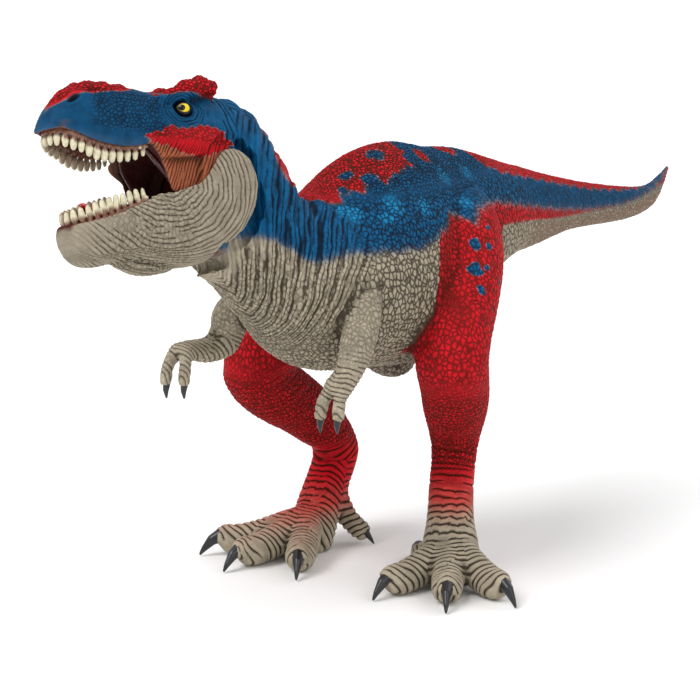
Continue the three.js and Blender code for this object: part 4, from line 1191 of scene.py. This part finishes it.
class DINOSAUR_OT_head(bpy.types.Operator):
    """The head's skin with nostrils, crests, cheeks and the web at the mouth's corner."""

    bl_idname = "dinosaur.head"
    bl_label = "Head"

    def execute(self, context):
        sizes = context.scene.dinosaur_sizes
        material = painted_skin("painted_head")
        skin = remeshed(fused("head_skin", ("head", "torso"), sizes.seam_fill), sizes.head_grain * coarse())
        front = headward(NECK_SPARE)
        cut(skin, front, "INTERSECT")
        discard(front)
        points, _ = numbers(skin.data)
        soft = averaged(skin.data, 0.35 + 0.4 * ramp((points - HINGE) @ HEAD_UP, 11, 14), 8)
        inputs = (owners(skin.data, FIGURE), sizes.fold_width / MM)
        dressed(skin, soft, HEAD_ROUNDING, sizes.seam_fill, material, figure_fields, *inputs)
        front = headward()
        refilled(cut(skin, front, "INTERSECT"))
        discard(front)
        place_piece(skin, "head", "figure", material)
        return {"FINISHED"}


class DINOSAUR_OT_jaw(bpy.types.Operator):
    """The jaw's skin with its side lobes and arc wrinkles."""

    bl_idname = "dinosaur.jaw"
    bl_label = "Lower jaw"

    def execute(self, context):
        sizes = context.scene.dinosaur_sizes
        material = painted_skin("painted_jaw")
        skin = remeshed(fused("jaw_skin", ["lower_jaw"]), sizes.head_grain * coarse())
        dressed(skin, np.full(len(skin.data.vertices), 0.5), HEAD_ROUNDING, 0.0, material, jaw_fields)
        place_piece(skin, "lower_jaw", "jaw", material)
        return {"FINISHED"}


def smoothed_piece(name, node, grain, steps, material):
    """A rounded copy of one node, with the attributes that its finish reads."""
    thing = remeshed(fused(name, [node]), grain * coarse())
    mesh = thing.data
    put(mesh, "soft", np.full(len(mesh.vertices), 0.6))
    shaped(thing, soften_tree(), steps=steps, shrink=0.0, finish=material)
    points, _ = numbers(thing.data)
    none = np.zeros_like(points)
    put(thing.data, "rest", points)
    put(thing.data, "flow", none)
    put(thing.data, "relief", none)
    put(thing.data, "pleat", none[:, 0])
    return thing, points


# How the teeth are reshaped, in mm: the lower row sinks and grows taller by a share, and crowns swell
LOWER_DROP = 0.9
LOWER_STRETCH = 0.32
TOOTH_SWELL = 0.14
ROW_PARTS = 90  # parts of a full turn round the mouth that share a gum level
TIP_RISE = 1.3  # how far the tongue's tip is raised
PEBBLE_DEPTH = 0.06  # on tongue and mouth lining
HOLLOW_SHARE = 0.2  # of the colour that is left in their hollows


class DINOSAUR_OT_teeth(bpy.types.Operator):
    """Upper and lower rows of teeth, darker towards the gum, with painted shade on the faces that look into the mouth.
    """

    bl_idname = "dinosaur.teeth"
    bl_label = "Teeth"

    def execute(self, context):
        colours = context.scene.dinosaur_colours
        sizes = context.scene.dinosaur_sizes
        material = enamel("tooth_enamel", colours.tooth[:], (0.15, 0.038, 0.014), 0.3, 1.2, coat=0.15)
        rows = (
            ("upper_teeth", "upper_tooth_strip", "figure", -1),
            ("lower_teeth", "lower_tooth_strip", "jaw", 1),
        )
        for name, node, body, up in rows:
            thing, _ = smoothed_piece(name, node, sizes.tooth_grain, TOOTH_ROUNDING, material)
            at = Places(thing.data)
            crown = np.maximum(at.up * up - gum_height(at, at.up * up), 0)
            # Painted shade on the faces that look into the mouth, in the same brown red that darkens the teeth towards
            # the gum
            inside = ramp(at.outward, 0, -0.7) * ramp(at.back, -44, -40)
            put(thing.data, "depth", np.maximum(ramp(crown, 1.2, 0.1), 0.7 * inside))
            drop = (LOWER_STRETCH * crown - LOWER_DROP) * (up > 0)
            swell = at.normals * (TOOTH_SWELL * ramp(crown, 0.3, 1.0))[:, None]
            move(thing.data, at.points + HEAD_UP * drop[:, None] + swell)
            shaped(thing, relief_tree(sizes), depth=0.0, finish=material)
            place_piece(thing, node, body, material)
        return {"FINISHED"}


def gum_height(at, height):
    """The rail's level under each point of a row of teeth: the low part of what lies near it along the row."""
    along = np.arctan2(at.out + 0.5, -at.back - 18)
    bins = ((along + 3.2) / 6.4 * ROW_PARTS).astype(int)
    parts, place = np.unique(bins, return_inverse=True)
    return np.array([np.percentile(height[bins == part], 45) for part in parts])[place]


class DINOSAUR_OT_claws(bpy.types.Operator):
    """Glossy toe and finger claws."""

    bl_idname = "dinosaur.claws"
    bl_label = "Claws"

    def execute(self, context):
        colours = context.scene.dinosaur_colours
        sizes = context.scene.dinosaur_sizes
        material = enamel("claw_horn", colours.claw[:], (0.004, 0.004, 0.005), 0.32, 0.5, (1.0, 1.0, 0.3), 0.2)
        for node in sorted(frame["nodes"]):
            if not node.endswith("claw"):
                continue
            thing, points = smoothed_piece(f"{node}_horn", node, sizes.tooth_grain, CLAW_ROUNDING, material)
            put(thing.data, "depth", np.zeros(len(points)))
            shaped(thing, relief_tree(sizes), depth=0.0, finish=material)
            place_piece(thing, node, "figure", material)
        return {"FINISHED"}


class DINOSAUR_OT_mouth(bpy.types.Operator):
    """Tongue and the lining of the cheeks."""

    bl_idname = "dinosaur.mouth"
    bl_label = "Mouth"

    def execute(self, context):
        colours = context.scene.dinosaur_colours
        sizes = context.scene.dinosaur_sizes
        rows = (
            ("tongue_flesh", "tongue", "jaw", colours.tongue[:], 0.25, "tongue"),
            ("mouth_flesh", "mouth_lining", "figure", colours.mouth[:], 0.35, "mouth"),
        )
        for name, node, body, colour, roughness, slot in rows:
            material = enamel(name, colour, tuple(HOLLOW_SHARE * c for c in colour), roughness, 0.8, coat=0.4)
            thing, points = smoothed_piece(name, node, sizes.flesh_grain, FLESH_ROUNDING, material)
            put(thing.data, "relief", np.full(points.shape, (0, PEBBLE_DEPTH, 0)))
            put(thing.data, "depth", np.zeros(len(points)))
            if node == "tongue":
                rise = TIP_RISE * ramp((points - HINGE) @ HEAD_BACK, -24, -32)
                move(thing.data, points + HEAD_UP * rise[:, None])
            shaped(thing, relief_tree(sizes), depth=1.0, finish=material)
            place_piece(thing, node, body, material)
        return {"FINISHED"}


# Middles of pupil and iris, as headings from the eyeball's middle in the head's axes
PUPIL = (0.8, -0.6, 0.05)
IRIS = (0.95, -0.28, 0.06)
IRIS_HALF = (0.66, 0.52)  # its half width and height, as shares of the eyeball's radius


class DINOSAUR_OT_eyes(bpy.types.Operator):
    """Eyeballs with a round dark pupil and a dark rim round the iris."""

    bl_idname = "dinosaur.eyes"
    bl_label = "Eyes"

    def execute(self, context):
        for node, sign in (("left_eye", 1), ("right_eye", -1)):
            low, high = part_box(node)
            centre = np.array((low + high) / 2)
            radius = (high - low).x / 2
            mesh = bpy.data.meshes.new(f"{node}ball")
            shape = bmesh.new()
            bmesh.ops.create_uvsphere(shape, u_segments=48, v_segments=32, radius=radius)
            bmesh.ops.translate(shape, verts=shape.verts, vec=Vector(centre))
            shape.to_mesh(mesh)
            shape.free()
            points, _ = numbers(mesh)
            way = (points - centre / MM) @ HEAD_AXES.T * MM / radius
            way[:, 0] *= sign
            across, over = (way - unit(PUPIL))[:, 1:].T
            put(mesh, "gaze", np.hypot(across, over * 0.9))
            across, over = (way - unit(IRIS))[:, 1:].T
            put(mesh, "rim", np.hypot(across / IRIS_HALF[0], over / IRIS_HALF[1]) + (way[:, 0] < 0))
            put(mesh, "rest", points)
            place_piece(linked(f"{node}ball", mesh), node, "figure", iris(f"{node}_paint"))
        return {"FINISHED"}


class DINOSAUR_OT_pin(bpy.types.Operator):
    """The finish of the jaw's pin, which keeps its own solid."""

    bl_idname = "dinosaur.pin"
    bl_label = "Jaw pin"

    def execute(self, context):
        material, plan = new_material("pin_plastic")
        place = plan.add("ShaderNodeTexCoord", {}, {}, out="Object")
        mottle = plan.noise(place, 900.0)
        colour = plan.mix(mottle, (0.2, 0.2, 0.2), (0.28, 0.28, 0.27))
        finish_material(plan, colour, 0.35 + 0.2 * mottle, mottle, 0.02 * MM)
        thing = frame["nodes"]["jaw_pin"]
        thing.data.materials.clear()
        thing.data.materials.append(material)
        return {"FINISHED"}


class DINOSAUR_OT_stage(bpy.types.Operator):
    """Pale floor, soft lights and the camera."""

    bl_idname = "dinosaur.stage"
    bl_label = "Stage"

    def execute(self, context):
        stage = context.scene.dinosaur_stage
        mesh = bpy.data.meshes.new("floor")
        reach = stage.floor_reach
        corners = [(-reach, -reach, 0), (reach, -reach, 0), (reach, reach, 0), (-reach, reach, 0)]
        mesh.from_pydata(corners, [], [(0, 1, 2, 3)])
        floor = linked("floor", mesh)
        material, plan = new_material("floor_paper")
        finish_material(plan, (0.95, 0.95, 0.95, 1), 0.8, Specular_IOR_Level=0.1)
        mesh.materials.append(material)

        world = bpy.data.worlds.new("studio")
        world.use_nodes = True
        sky = world.node_tree.nodes["Background"]
        sky.inputs["Color"].default_value = (1, 1, 1, 1)
        sky.inputs["Strength"].default_value = stage.sky
        context.scene.world = world
        context.scene.view_settings.view_transform = "Standard"
        aim = Vector(stage.aim)
        lights = (
            ("key_light", (-0.2, -0.75, 1.0), 35, stage.key_power),
            ("side_light", (0.8, -0.3, 0.5), 45, 0.35 * stage.key_power),
            ("back_light", (0.2, 0.8, 0.8), 45, 0.3 * stage.key_power),
        )
        for name, place, spread, power in lights:
            lamp = bpy.data.lights.new(name, "SUN")
            lamp.angle = math.radians(spread)
            lamp.energy = power
            light = linked(name, lamp)
            light.location = place
            light.rotation_euler = (aim - light.location).to_track_quat("-Z", "Y").to_euler()

        camera = bpy.data.cameras.new("camera")
        camera.lens = stage.focal_length
        camera.sensor_width = 36
        camera.clip_start = 0.01
        view = linked("camera", camera)
        turn, rise = stage.camera_turn, stage.camera_rise
        back = Vector((math.sin(turn) * math.cos(rise), -math.cos(turn) * math.cos(rise), math.sin(rise)))
        view.location = aim + back * stage.camera_distance
        view.rotation_euler = (-back).to_track_quat("-Z", "Y").to_euler()
        context.scene.camera = view
        return {"FINISHED"}


class DINOSAUR_PT_panel(bpy.types.Panel):
    """Lists the pieces and the sizes and colours they are made from."""

    bl_idname = "DINOSAUR_PT_panel"
    bl_label = "Toy dinosaur"
    bl_space_type = "VIEW_3D"
    bl_region_type = "UI"
    bl_category = "Dinosaur"

    def draw(self, context):
        for operator in OPERATORS:
            self.layout.operator(operator.bl_idname)
        for group in (context.scene.dinosaur_sizes, context.scene.dinosaur_colours, context.scene.dinosaur_stage):
            for name in group.bl_rna.properties.keys():
                if name not in ("rna_type", "name"):
                    self.layout.prop(group, name)


GROUPS = {"dinosaur_sizes": DinosaurSizes, "dinosaur_colours": DinosaurColours, "dinosaur_stage": DinosaurStage}
OPERATORS = (
    DINOSAUR_OT_body,
    DINOSAUR_OT_head,
    DINOSAUR_OT_jaw,
    DINOSAUR_OT_teeth,
    DINOSAUR_OT_claws,
    DINOSAUR_OT_mouth,
    DINOSAUR_OT_eyes,
    DINOSAUR_OT_pin,
    DINOSAUR_OT_stage,
)


def coarse():
    """How much coarser the meshes are while trying things."""
    return 1.0


def register():
    for made in (*GROUPS.values(), *OPERATORS, DINOSAUR_PT_panel):
        bpy.utils.register_class(made)
    for name, group in GROUPS.items():
        setattr(bpy.types.Scene, name, bpy.props.PointerProperty(type=group))


def unregister():
    for name in GROUPS:
        delattr(bpy.types.Scene, name)
    for made in (DINOSAUR_PT_panel, *reversed(OPERATORS), *GROUPS.values()):
        bpy.utils.unregister_class(made)


def main():
    register()
    for operator in OPERATORS:
        section, name = operator.bl_idname.split(".")
        getattr(getattr(bpy.ops, section), name)()


if __name__ == "__main__":
    main()
